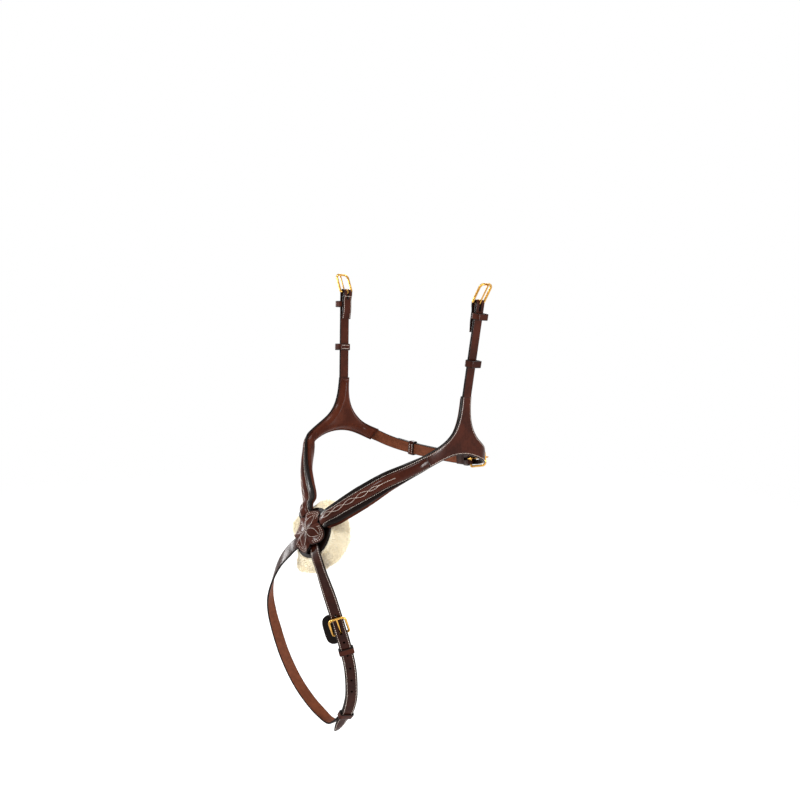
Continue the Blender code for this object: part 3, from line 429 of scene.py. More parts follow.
class Route:
    """A smooth centreline with the way its outside faces, read by distance."""

    def __init__(self, points, facings, start=None, end=None):
        knots = np.array([tuple(point) for point in points])
        faces = np.array([tuple(facing) for facing in facings])
        spans = np.linalg.norm(np.diff(knots, axis=0), axis=1)
        chords = np.diff(knots, axis=0) / spans[:, None]
        slopes = np.empty_like(knots)
        slopes[0] = chords[0] if start is None else tuple(start)
        slopes[-1] = chords[-1] if end is None else tuple(end)
        before, after = spans[:-1, None], spans[1:, None]
        slopes[1:-1] = (chords[:-1] * after + chords[1:] * before) / (before + after)
        along, ways, outs = [], [], []
        for index, span in enumerate(spans):
            last = index == len(spans) - 1
            p, q = knots[index], knots[index + 1]
            m, n = slopes[index] * span, slopes[index + 1] * span
            for t in np.linspace(0.0, 1.0, ROUTE_SAMPLES + last, endpoint=last):
                along.append((2 * t**3 - 3 * t**2 + 1) * p + (t**3 - 2 * t**2 + t) * m
                             + (3 * t**2 - 2 * t**3) * q + (t**3 - t**2) * n)
                ways.append((6 * t**2 - 6 * t) * (p - q) + (3 * t**2 - 4 * t + 1) * m
                            + (3 * t**2 - 2 * t) * n)
                outs.append(faces[index] * (1 - t) + faces[index + 1] * t)
        self.points = np.array(along)
        self.ways = np.array(ways) / np.linalg.norm(ways, axis=1)[:, None]
        self.outs = np.array(outs)
        steps = np.linalg.norm(np.diff(self.points, axis=0), axis=1)
        self.marks = np.concatenate([[0.0], np.cumsum(steps)])
        self.length = float(self.marks[-1])

    def read(self, table, s):
        return Vector([float(np.interp(s, self.marks, table[:, axis])) for axis in range(3)])

    def frame(self, s):
        """The point at a distance, the way along, across and out of the strap there."""
        way = self.read(self.ways, s).normalized()
        out = self.read(self.outs, s)
        out = (out - way * out.dot(way)).normalized()
        point = self.read(self.points, s) + way * (min(0.0, s) + max(0.0, s - self.length))
        return point, way, out.cross(way), out

    def at(self, s, across=0.0, out=0.0):
        point, _, side, outward = self.frame(s)
        return point + side * across + outward * out

    def row(self, first, last, across, out):
        """Points with their outward way along a line of stitches."""
        places = []
        for s in evenly(first, last, max(2, ceil(abs(last - first) / ROW_STEP))):
            x = across(s) if callable(across) else across
            y = out(s) if callable(out) else out
            places.append((self.at(s, x, y), self.frame(s)[3]))
        return places


def stations(first, last):
    """Even distances between two ends, closer together next to the ends for their rounding."""
    middle = evenly(first, last, max(2, ceil((last - first) / FINE_STEP)) + 1)
    ends = [ROUND_OFF * share for share in END_STEPS]
    return sorted({*middle, *(first + e for e in ends), *(last - e for e in ends)})


print("a route reads its strap every", FINE_STEP / MM, "mm")

# %% [markdown]
# ## A strap's section
# A real strap isn't a box: its corners are rounded and rubbed, its face falls a little towards the edges,
# and a line of stitches pulls a furrow. The section below has points where those things happen, at fixed
# distances from the edge, so that the shape comes from the mesh and not only from the finish.

# %% The section and the plain strap
FACE_MARKS = (1.1, 1.4, 1.7, 2.0, 2.4, 3.6)
CORNER_TURNS = (75, 50, 25, 0, -25, -50, -75)
CORNER_SHARE = 0.47
FACE_FALL = 0.22 * MM
FURROW_DEPTH = 0.16 * MM
FURROW_AT = 1.7
FURROW_REACH = 0.45
TUCK = 3.0 * MM
TUCK_PULL = 0.3 * MM
END_REACH = ROUND_OFF * 0.8


def furrowed(mark, depth, shrink=1.0):
    """How deep the stitches' furrow is at a distance from the edge."""
    return depth * max(0.0, 1 - abs(mark - FURROW_AT * shrink) / FURROW_REACH)


def section(width, low, high, pull=0.0, furrow=0.0, fall=FACE_FALL, droop=None):
    """Points across and out with their skin values. A pull draws the ends' faces in to round them."""
    half = width / 2
    radius = min(ROUND_OFF, (high - low) * CORNER_SHARE)
    shrink = min(1.0, half / (STRAP_WIDTH / 2))
    marks = [radius / MM, *(mark * shrink for mark in FACE_MARKS)]
    top, bottom = high - fall - pull - radius, low + pull + radius
    points = []
    for sign, inside in ((1, 0.0), (-1, 1.0)):
        for side in (-1, 1):
            for mark in marks[::-side]:
                x = side * (half - mark * MM)
                drop = fall * (x / half)**2 + pull + furrowed(mark, furrow, shrink)
                points.append(((x * sign, low + pull if inside else high - drop), (mark, inside)))
        for turn in CORNER_TURNS[::sign]:
            angle = radians(turn)
            centre = top if turn > 0 else bottom if turn < 0 else (top + bottom) / 2
            x = sign * (half - radius + radius * cos(angle) - pull)
            points.append(((x, centre + radius * sin(angle)), (0.0, 0.5 - 0.5 * sin(angle))))
    if droop:
        points = [((x, y - droop(x)), skin) for (x, y), skin in points]
    return points


def tucked(s):
    """How far a strap's faces draw in where its end is hidden in the piece that it is sewn to."""
    return TUCK_PULL * eased(1 - s / CLEARANCE)


def end_pull(s, first, last):
    """How far the faces draw in near a strap's two ends, and the distance to the nearer end."""
    near = min(s - first, last - s)
    if near >= END_REACH:
        return 0.0, near
    return END_REACH - sqrt(max(0.0, END_REACH**2 - (END_REACH - max(0.0, near))**2)), near


def laid(ring, place, near, thinned=0.0):
    """A section's points in their places, and their skin values this near to an end."""
    skin = [(min(rim + thinned, near / MM), inside) for _, (rim, inside) in ring]
    return [place(x, y) for (x, y), _ in ring], skin


def strap(name, route, first, last, shape, finish):
    """A strap along a route. The shape gives the section's facts at each distance."""
    rows = []
    for s in stations(first, last):
        pull, near = end_pull(s, first, last)
        ring = section(pull=max(pull, tucked(s), tucked(route.length - s)), **shape(s))
        rows.append(laid(ring, lambda x, y: route.at(s, x, y), near))
    return loft(name, rows, finish)


print("points in a section:", len(section(STRAP_WIDTH, 0.0, STRAP_THICKNESS)))

# %% [markdown]
# ## Stitches
# A hand-sewn row is one short slanted bead of thread after another, half sunk in its furrow. That is a
# repeat along a path, which Geometry Nodes do well: the rows come in as edges whose points know the way
# out of the leather, they are walked at the pitch of the stitches, and a bead is set down on each step.

# %% The stitch tree
FLOAT = "NodeSocketFloat"
MATERIAL = "NodeSocketMaterial"
STITCH = {"Pitch": 2.1 * MM, "Length": 1.7 * MM, "Width": 0.50 * MM, "Slant": radians(9.0)}
BEAD_DEPTH_SHARE = 0.75


def geometry_tree(name, inputs):
    """A geometry tree with named inputs, and its input node."""
    group = bpy.data.node_groups.new(name, "GeometryNodeTree")
    group.interface.new_socket("Geometry", in_out="INPUT", socket_type="NodeSocketGeometry")
    group.interface.new_socket("Geometry", in_out="OUTPUT", socket_type="NodeSocketGeometry")
    for label, kind in inputs.items():
        group.interface.new_socket(label, in_out="INPUT", socket_type=kind)
    tree = Tree(group)
    return tree, tree.node("NodeGroupInput")


def end_tree(tree, shape, finish):
    """The end of every geometry tree: real faces with their material."""
    real = tree.node("GeometryNodeRealizeInstances", values=[shape])
    tree.node("NodeGroupOutput", values=[
        tree.node("GeometryNodeSetMaterial", values={"Geometry": real, "Material": finish})])
    return tree


def run_tree(piece, tree, values):
    """Runs a geometry tree on a piece with its inputs set and keeps the plain mesh."""
    modifier = piece.modifiers.new(tree.tree.name, "NODES")
    modifier.node_group = tree.tree
    for item in tree.tree.interface.items_tree:
        if item.in_out == "INPUT" and item.name in values:
            modifier[item.identifier] = values[item.name]
    return settle(piece)


def stitch_tree():
    """Beads of thread set down at even steps along rows that know their way out."""
    tree, rows = geometry_tree("stitches", {**dict.fromkeys(STITCH, FLOAT), "Thread": MATERIAL})
    line = tree.node("GeometryNodeMeshToCurve", values={"Mesh": rows})
    pace = {"Curve": line, "Length": rows["Pitch"]}
    steps = tree.node("GeometryNodeResampleCurve", {"mode": "LENGTH"}, pace)
    along = tree.node("GeometryNodeInputTangent")
    kind = {"data_type": "FLOAT_VECTOR"}
    outward = tree.node("GeometryNodeInputNamedAttribute", kind, {"Name": "outward"})
    axes = {"primary_axis": "X", "secondary_axis": "Z"}
    turned = tree.node("FunctionNodeAxesToRotation", axes, [along, outward])
    bead = tree.node("GeometryNodeMeshUVSphere", values={"Segments": 8, "Rings": 6, "Radius": 0.5})
    length, width = rows["Length"], rows["Width"]
    size = tree.node("ShaderNodeCombineXYZ", values=[length, width, width * BEAD_DEPTH_SHARE])
    slant = tree.node("ShaderNodeCombineXYZ", values={"Z": rows["Slant"]})
    bead = tree.node("GeometryNodeTransform", values={"Geometry": bead, "Rotation": slant, "Scale": size})
    set_down = {"Points": steps, "Instance": bead, "Rotation": turned}
    sewn = tree.node("GeometryNodeInstanceOnPoints", values=set_down)
    tint = tree.node("FunctionNodeRandomValue", {"data_type": "FLOAT"}, {"Seed": 8}, 1)
    sewn = tree.node("GeometryNodeStoreNamedAttribute", {"data_type": "FLOAT", "domain": "INSTANCE"},
                     {"Geometry": sewn, "Name": "tint", "Value": tint})
    return end_tree(tree, sewn, rows["Thread"])


STITCHES = stitch_tree()


def sew(name, rows, body=BODY, **changes):
    """One piece of thread from rows of points and their outward ways."""
    points, edges, ways = [], [], []
    for row in rows:
        start = len(points)
        points += [point for point, _ in row]
        ways += [tuple(way) for _, way in row]
        edges += [(start + step, start + step + 1) for step in range(len(row) - 1)]
    data = mesh_of(name, points, (), edges)
    held = data.attributes.new("outward", "FLOAT_VECTOR", "POINT")
    held.data.foreach_set("vector", np.array(ways, dtype=np.float32).ravel())
    piece = placed(name, data)
    run_tree(piece, STITCHES, {**STITCH, "Thread": THREAD, **changes})
    piece.data.shade_smooth()
    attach(piece, body)
    print(name, len(piece.data.polygons), "faces")
    return piece


# %% [markdown]
# ## Cheek straps
# Each cheek strap rises from its side piece, wraps the bar of its buckle and comes back down the inside,
# where two rows of stitches and a short cross row hold it. The end has a slot for the tongue. A fixed
# keeper and a sliding one stand off its face and leave some room under them.

# %% Buckle sizes and the folded strap
WIRE_RADIUS = 1.3 * MM
KEEPER_THICKNESS = 1.3 * MM
FOLD_RADIUS = WIRE_RADIUS + CLEARANCE + DEEP
LAYER_SPACING = STRAP_THICKNESS + KEEPER_THICKNESS + 2 * CLEARANCE
FOLD_SETTLE = 7.0 * MM
FOLD_TURNS = 16
CROSS_ROW_SHARE = 0.75
FOLD_ROW_POINTS = 24
CROSS_ROW_POINTS = 8
FAR = 1.0
TONGUE_SLOT_WIDTH = 3.2 * MM
TONGUE_SLOT_BACK = 9.0 * MM
SKIVE_LENGTH = 12.0 * MM
SKIVE_SHARE = 0.25
OVERRUN = 3.0 * MM
BOX_FACES = ((0, 1, 2, 3), (4, 7, 6, 5), (0, 4, 5, 1), (1, 5, 6, 2), (2, 6, 7, 3), (3, 7, 4, 0))


def fold_level(back):
    """How far inside the strap's own middle the turned-back end lies, a distance back from the bar."""
    settled = eased((back - FOLD_RADIUS) / FOLD_SETTLE)
    return -2 * FOLD_RADIUS + (2 * FOLD_RADIUS - LAYER_SPACING) * settled


def skived(to_end):
    """The share of its thickness that the turned-back leather keeps at a distance from its end."""
    return SKIVE_SHARE + (1 - SKIVE_SHARE) * eased(to_end / SKIVE_LENGTH)


def folded_strap(name, route, first, bar, turn_back, finish):
    """A strap round its buckle bar and back, with the tongue's slot cut through both layers."""
    rows = []

    def add(place, s, near, kept=1.0):
        ring = section(STRAP_WIDTH, -DEEP, DEEP, max(end_pull(near, 0.0, FAR)[0], tucked(s)))
        rows.append(laid(ring, place, near, 1 - kept))

    for s in stations(first, bar):
        add(lambda x, y: route.at(s, x, y), s, s - first)
    centre, way, side, out = route.frame(bar)
    centre = centre - out * FOLD_RADIUS
    for step in range(1, FOLD_TURNS):
        angle = pi * step / FOLD_TURNS
        arm = out * cos(angle) + way * sin(angle)
        add(lambda x, y: centre + side * x + arm * (FOLD_RADIUS + y), bar, FAR)
    for s in reversed(stations(bar - turn_back, bar)):
        kept = skived(s - bar + turn_back)
        add(lambda x, y: route.at(s, x, fold_level(bar - s) + DEEP - (y + DEEP) * kept), s,
            s - bar + turn_back + MM, kept)
    piece = loft(name, rows, finish)
    low = -2 * FOLD_RADIUS - OVERRUN
    high = FOLD_RADIUS + DEEP + OVERRUN
    wide = TONGUE_SLOT_WIDTH / 2
    corners = []
    for along in (-TONGUE_SLOT_BACK, FOLD_RADIUS + STRAP_THICKNESS + OVERRUN):
        for across, level in ((-wide, low), (wide, low), (wide, high), (-wide, high)):
            corners.append(centre + way * along + side * across + out * level)
    carve(piece, [(corners, BOX_FACES)])
    return dress(piece, name)


def turn_back_rows(route, bar, turn_back):
    """Two rows and a cross row where the turned-back end is sewn down, seen from inside."""
    half = STRAP_WIDTH / 2 - FURROW_AT * MM
    first, last = bar - turn_back + FURROW_AT * MM, bar - FOLD_SETTLE * CROSS_ROW_SHARE

    def spot(s, across):
        point, _, side, out = route.frame(s)
        level = fold_level(bar - s) + DEEP - STRAP_THICKNESS * skived(s - bar + turn_back)
        return point + side * across + out * level, -out

    rows = [[spot(s, across) for s in evenly(first, last, FOLD_ROW_POINTS)] for across in (-half, half)]
    return [*rows, [spot(last, across) for across in evenly(-half, half, CROSS_ROW_POINTS)]]


print("a turned-back end lies", round(LAYER_SPACING / MM, 2), "mm inside its strap")

# %% [markdown]
# A keeper is a strip bent round the strap and butted on the inside. It is one ring of sections that
# closes on itself, with a pressed line along both edges and, on a sliding one, two rows of stitches across
# its inner side where the ends meet.

# %% Keepers
KEEPER_LENGTH = 7.0 * MM
RUNNER_LENGTH = 7.5 * MM
KEEPER_CORNER = 0.9 * MM
KEEPER_FIT = 0.35 * MM
KEEPER_FALL = 0.1 * MM
KEEPER_TURNS = 5
KEEPER_SPANS = 7
ROW_FROM_END = 1.9 * MM
ROW_FROM_SIDE = 2.2 * MM
KEEPER_ROW_POINTS = 12
SIDE_LEAST = 2.0 * MM


def rounded_loop(low, high):
    """The keeper's loop with points along its straight sides as well as its corners."""
    r = KEEPER_CORNER
    half = STRAP_WIDTH / 2 + KEEPER_FIT
    middles = ((half - r, high - r), (-half + r, high - r), (-half + r, low + r), (half - r, low + r))
    turned = []
    for quarter, (x, y) in enumerate(middles):
        for step in range(KEEPER_TURNS + 1):
            angle = radians(90 * quarter + 90 * step / KEEPER_TURNS)
            facing = Vector((cos(angle), sin(angle)))
            turned.append((Vector((x, y)) + facing * r, facing))
    loop = []
    for here, there in zip(turned, turned[1:] + turned[:1]):
        loop.append(here)
        if (there[0] - here[0]).length > SIDE_LEAST:
            for step in range(1, KEEPER_SPANS):
                loop.append((here[0].lerp(there[0], step / KEEPER_SPANS), here[1]))
    return loop


def keeper(name, route, middle, length, low, high, body=BODY):
    """A leather loop round a strap."""
    ring = section(length, 0.0, KEEPER_THICKNESS, fall=KEEPER_FALL)
    rows = []
    for spot, facing in rounded_loop(low, high):
        places = [route.at(middle + along, spot.x + facing.x * out, spot.y + facing.y * out)
                  for (along, out), _ in ring]
        rows.append((places, [value for _, value in ring]))
    return dress(loft(name, rows, GRAIN, closed=True), name, body=body)


def keeper_rows(route, middle, low):
    """Two short rows across the inner side of a sliding keeper."""
    rows = []
    half = STRAP_WIDTH / 2 - ROW_FROM_SIDE
    for along in (ROW_FROM_END - RUNNER_LENGTH / 2, RUNNER_LENGTH / 2 - ROW_FROM_END):
        point, _, side, out = route.frame(middle + along)
        rows.append([(point + side * across + out * (low - KEEPER_THICKNESS), -out)
                     for across in evenly(-half, half, KEEPER_ROW_POINTS)])
    return rows


def keepers(word, route, keeper_at, runner_at, high):
    """The fixed keeper, and the sliding one with its thread."""
    low = -DEEP - KEEPER_FIT
    keeper(word + "_keeper", route, keeper_at, KEEPER_LENGTH, low, high)
    body = word + "_runner_loop"
    keeper(word + "_runner", route, runner_at, RUNNER_LENGTH, low, high, body)
    sew(word + "_runner_thread", keeper_rows(route, runner_at, low), body)


print("points round a keeper:", len(rounded_loop(-1.45 * MM, 3.45 * MM)))

# %% [markdown]
# ## Buckles
# The frame is a bent brass rod, square to the strap at its bar and well rounded at its front. The tongue
# is a thinner rod hooked round the bar. Both are tubes along a path in a flat plane, made with enough
# sides to look turned, and each rides on its own body so that it can swing.

# %% Buckle frames and tongues
FRAME_LENGTH = 21.0 * MM
FRAME_FIT = 0.8 * MM
FRAME_REST = 1.4 * MM
FRAME_CORNER = 4.5 * MM
FRAME_BAR_CORNER = 1.6 * MM
FRAME_HALF_WIDTH = STRAP_WIDTH / 2 + FRAME_FIT + WIRE_RADIUS
TONGUE_RADIUS = 0.85 * MM
TONGUE_OVERHANG = 1.6 * MM
TONGUE_LIFT = WIRE_RADIUS + CLEARANCE + TONGUE_RADIUS
TONGUE_EYE_SHARE = 0.80
TONGUE_EYE_STEPS = 22
TONGUE_POINTS = 18
TONGUE_FROM = 0.08
TONGUE_TIP_FROM = 0.93
TONGUE_TIP_LENGTH = 0.075
TONGUE_TIP_LEAST = 0.06
WIRE_SIDES = 18
BEND_STEPS = 9


def around(count):
    """Even angles once round a circle."""
    return [2 * pi * turn / count for turn in range(count)]


def rod(name, path, radii, across, closed, body):
    """A brass rod along points in one plane, with its radius at each of them."""
    rows = []
    count = len(path)
    for index, (point, r) in enumerate(zip(path, radii)):
        ahead = path[(index + 1) % count] if closed or index + 1 < count else point
        behind = path[index - 1] if closed or index else point
        flat = (ahead - behind).normalized().cross(across)
        places = [point + flat * (r * cos(a)) + across * (r * sin(a)) for a in around(WIRE_SIDES)]
        rows.append((places, [(0.0, 0.0)] * WIRE_SIDES))
    return dress(loft(name, rows, BRASS, closed), name, body=body)


def bent_outline(corners, radii):
    """Points round a flat outline whose corners are arcs, with a few along each side."""
    points = []
    for index, corner in enumerate(corners):
        before = (corners[index - 1] - corner).normalized()
        after = (corners[(index + 1) % len(corners)] - corner).normalized()
        reach = radii[index]
        middle = corner + (before + after) * reach
        for step in range(BEND_STEPS + 1):
            angle = pi / 2 * step / BEND_STEPS
            points.append(middle - after * (reach * cos(angle)) - before * (reach * sin(angle)))
    return points


def tongue_radius(share):
    """The tongue's radius at a share of its length, rounded off at its tip."""
    past = (share - TONGUE_TIP_FROM) / TONGUE_TIP_LENGTH
    return TONGUE_RADIUS * (1.0 if past < 0 else sqrt(max(TONGUE_TIP_LEAST, 1 - past**2)))


def buckle(word, bar, way, side, out):
    """The frame and the tongue on one bar."""
    half = FRAME_HALF_WIDTH
    corners = [bar - side * half, bar - side * half + way * FRAME_LENGTH,
               bar + side * half + way * FRAME_LENGTH, bar + side * half]
    outline = bent_outline(corners, (FRAME_BAR_CORNER, FRAME_CORNER, FRAME_CORNER, FRAME_BAR_CORNER))
    rod(word + "_buckle_frame", outline, [WIRE_RADIUS] * len(outline), out, True, word + "_frame")
    tip = FRAME_LENGTH + WIRE_RADIUS + TONGUE_OVERHANG
    path = []
    for step in range(TONGUE_EYE_STEPS + 1):
        angle = pi / 2 + 2 * pi * TONGUE_EYE_SHARE * (1 - step / TONGUE_EYE_STEPS)
        path.append(bar + way * (TONGUE_LIFT * cos(angle)) + out * (TONGUE_LIFT * sin(angle)))
    shares = evenly(TONGUE_FROM, 1.0, TONGUE_POINTS)
    radii = [TONGUE_RADIUS] * len(path) + [tongue_radius(share) for share in shares]
    path += [bar + way * (tip * share) + out * TONGUE_LIFT for share in shares]
    rod(word + "_buckle_tongue", path, radii, side, False, word + "_tongue")


print("frame", round(2 * FRAME_HALF_WIDTH / MM, 1), "by", FRAME_LENGTH / MM, "mm")

# %% [markdown]
# With those helpers a cheek strap is a straight route, a fold, two keepers, thread and a buckle that leans
# a little outwards, as an empty one does.

# %% The cheek straps in place
TOP_SPREAD = 200.0 * MM
SIDE_SPREAD = 189.0 * MM
SIDE_TOP_DROP = 97.0 * MM
SIDE_TOP_FORWARD = 10.0 * MM
CHEEK_TURN_BACK = 31.0 * MM
CHEEK_KEEPER_DROP = 14.0 * MM
CHEEK_RUNNER_DROP = 63.0 * MM
BILLET_ROOM = 5.0 * MM
CHEEK_FRAME_LEAN = radians(22.0)

for side_word, hand in SIDES:
    word = side_word + "_cheek"
    foot = Vector((hand * SIDE_SPREAD / 2, -SIDE_TOP_FORWARD, -SIDE_TOP_DROP))
    bar_at = Vector((hand * TOP_SPREAD / 2, 0.0, 0.0))
    way = (bar_at - foot).normalized()
    facing = Vector((float(hand), 0.0, 0.0))
    lean = (facing - way * facing.dot(way)).normalized()
    route = Route([foot, bar_at + lean * FOLD_RADIUS], [facing, facing])
    bar = route.length
    folded_strap(word + "_strap", route, -TUCK, bar, CHEEK_TURN_BACK, GRAIN)
    keepers(word, route, bar - CHEEK_KEEPER_DROP, bar - CHEEK_RUNNER_DROP, DEEP + CLEARANCE + BILLET_ROOM)
    sew(word + "_thread", turn_back_rows(route, bar, CHEEK_TURN_BACK))
    point, way, side, out = route.frame(bar)
    leaning = way * cos(CHEEK_FRAME_LEAN) + out * sin(CHEEK_FRAME_LEAN)
    buckle(word, point - out * FOLD_RADIUS, leaning, side, leaning.cross(side))
    print(word, "strap:", round(bar / MM, 1), "mm to its buckle")

# %% [markdown]
# ## Side pieces
# The side piece is a Y of leather that joins cheek, nose and jaw straps. Its outline is three smooth
# curves, one between each pair of arms. Rings drawn in from the outline make the rounded edge, the furrow
# of the stitches and the gently crowned face, and the whole Y is bent round the horse's face.

# %% The Y outline and its rings
SIDE_ARM_WIDTH = 14.0 * MM
SIDE_FRONT_FORWARD = 64.5 * MM
SIDE_FRONT_DROP = 158.5 * MM
SIDE_FRONT_SLOPE = radians(22.0)
SIDE_REAR_BACK = 29.5 * MM
SIDE_REAR_DROP = 168.0 * MM
SIDE_REAR_SLOPE = radians(30.0)
FRONT_CURL_FROM = 35.0 * MM
FRONT_CURL_RADIUS = 106.0 * MM
REAR_CURL_FROM = 11.0 * MM
REAR_CURL_RADIUS = 18.0 * MM
EDGE_SHARES = {"front": (0.55, 0.48), "arch": (0.42, 0.40), "rear": (0.52, 0.42)}
EDGE_POINTS = 49
END_ZONE = 12.0 * MM


def side_point(hand, y, z, out=0.0):
    """A point on the side surface, or off it, and the way the surface faces."""
    ahead = max(0.0, -y - FRONT_CURL_FROM)
    behind = max(0.0, y - REAR_CURL_FROM)
    drop = ahead**2 / (2 * FRONT_CURL_RADIUS) + behind**2 / (2 * REAR_CURL_RADIUS)
    slope = ahead / FRONT_CURL_RADIUS - behind / REAR_CURL_RADIUS
    facing = Vector((1.0, -slope, 0.0)).normalized()
    point = Vector((SIDE_SPREAD / 2 - drop, y, z)) + facing * out
    return Vector((hand * point.x, point.y, point.z)), Vector((hand * facing.x, facing.y, facing.z))


ARMS = {
    "top": (Vector((-SIDE_TOP_FORWARD, -SIDE_TOP_DROP)),
            Vector((SIDE_TOP_FORWARD, SIDE_TOP_DROP)).normalized()),
    "front": (Vector((-SIDE_FRONT_FORWARD, -SIDE_FRONT_DROP)),
              Vector((-cos(SIDE_FRONT_SLOPE), -sin(SIDE_FRONT_SLOPE)))),
    "rear": (Vector((SIDE_REAR_BACK, -SIDE_REAR_DROP)),
             Vector((cos(SIDE_REAR_SLOPE), -sin(SIDE_REAR_SLOPE)))),
}


def edge_between(one, other, shares):
    """A smooth edge from the left of one arm to the right of the next."""
    ends = []
    for arm, turn in ((one, 1), (other, -1)):
        centre, way = ARMS[arm]
        ends.append((centre + turn * Vector((-way.y, way.x)) * (SIDE_ARM_WIDTH / 2), way))
    (start, start_way), (end, end_way) = ends
    span = (end - start).length
    first = start - start_way * (span * shares[0])
    second = end - end_way * (span * shares[1])
    return [start * (1 - t)**3 + first * (3 * t * (1 - t)**2) + second * (3 * t**2 * (1 - t)) + end * t**3
            for t in evenly(0.0, 1.0, EDGE_POINTS)]


OUTLINE = (edge_between("top", "front", EDGE_SHARES["front"])
           + edge_between("front", "rear", EDGE_SHARES["arch"])
           + edge_between("rear", "top", EDGE_SHARES["rear"]))


def inset(distance):
    """The outline drawn in by a distance, evenly also near the arms' square ends."""
    drawn = []
    for index, point in enumerate(OUTLINE):
        before = (point - OUTLINE[index - 1]).normalized()
        after = (OUTLINE[(index + 1) % len(OUTLINE)] - point).normalized()
        left = Vector((-before.y, before.x)) + Vector((-after.y, after.x))
        moved = point + left * (2 * distance / left.length_squared)
        for centre, way in ARMS.values():
            depth = (centre - point).dot(way)
            aside = abs((centre - point).dot(Vector((-way.y, way.x))))
            if depth < END_ZONE and aside < SIDE_ARM_WIDTH:
                wanted = distance + depth * (1 - distance / END_ZONE)
                moved -= way * (wanted - (centre - moved).dot(way))
        drawn.append(moved)
    return drawn


def across_arms(ring):
    """Faces across a ring that follows the outline: a ladder up each arm and a middle triangle."""
    edges = [ring[first:first + EDGE_POINTS] for first in range(0, len(ring), EDGE_POINTS)]
    middle = EDGE_POINTS // 2
    faces = []
    for left, right in zip(edges, edges[1:] + edges[:1]):
        back = left[::-1]
        for rung in range(middle):
            faces.append((back[rung], right[rung], right[rung + 1], back[rung + 1]))
    faces.append([edge[middle] for edge in edges])
    return faces


def y_plate(name, hand, profile, finish):
    """A Y on the side surface whose rim follows insets and levels, with their skin values."""
    points, skin = [], []
    count = len(OUTLINE)
    for distance, level, rim, inside in profile:
        points += [side_point(hand, p.x, p.y, level)[0] for p in inset(distance)]
        skin += [(rim, inside)] * count
    faces = ring_faces(len(profile), count)
    faces += across_arms(list(range(count)))
    faces += across_arms(list(range(len(points) - count, len(points))))
    return make_piece(name, points, faces, skin, finish)


print("points in the Y outline:", len(OUTLINE))

# %% [markdown]
# The leather's profile starts on its inner face, goes over the rounded edge and ends on the crowned outer
# face, with the furrow on the way. The thread lies in that furrow, along each of the three edges.

# %% The side pieces and their thread
PLATE_MARKS = (1.1, 1.4, 1.7, 2.0, 2.5, 3.4, 4.6)
PLATE_BACK_AT = 4.0
CROWN_POWER = 0.8
SIDE_THREAD_LEVEL = DEEP - FACE_FALL * 0.6 - FURROW_DEPTH * 0.3


def plate_profile():
    """Insets and levels of a leather plate from its inner face over the rounded edge to its outer."""
    r = ROUND_OFF
    high = DEEP - FACE_FALL
    rows = [(PLATE_BACK_AT * MM, -DEEP, PLATE_BACK_AT, 1.0), (r, -DEEP, r / MM, 1.0)]
    for turn in CORNER_TURNS[::-1]:
        angle = radians(turn)
        centre = high - r if turn > 0 else r - DEEP if turn < 0 else (high - DEEP) / 2
        rows.append((r - r * cos(angle), centre + r * sin(angle), 0.0, 0.5 - 0.5 * sin(angle)))
    for mark in (r / MM, *PLATE_MARKS):
        rise = (mark / PLATE_MARKS[-1])**CROWN_POWER
        rows.append((mark * MM, high + FACE_FALL * rise - furrowed(mark, FURROW_DEPTH), mark, 0.0))
    return rows


for word, hand in SIDES:
    dress(y_plate(word + "_side_piece", hand, plate_profile(), GRAIN), word + "_side_piece")
    line = [side_point(hand, p.x, p.y, SIDE_THREAD_LEVEL) for p in inset(FURROW_AT * MM)]
    edges = [line[first:first + EDGE_POINTS] for first in range(0, len(line), EDGE_POINTS)]
    sew(word + "_side_thread", edges)

# %% [markdown]
# ## Soft linings
# Behind each side piece and nose strap lies foam under soft leather. The lining is shaped as a closed
# skin with a flat sewn rim and a rounded pad, and then blown up a little by the cloth solver with its rim
# held, which gives the uneven fullness and the small puckers that a drawn curve lacks.

# %% Blowing up a lining
SOLVER_SCALE = 40.0
SOLVER_FRAMES = 14
SOLVER_QUALITY = 5
SOLVER_MASS = 0.3
STIFFNESS = 18.0
BENDING = 0.6


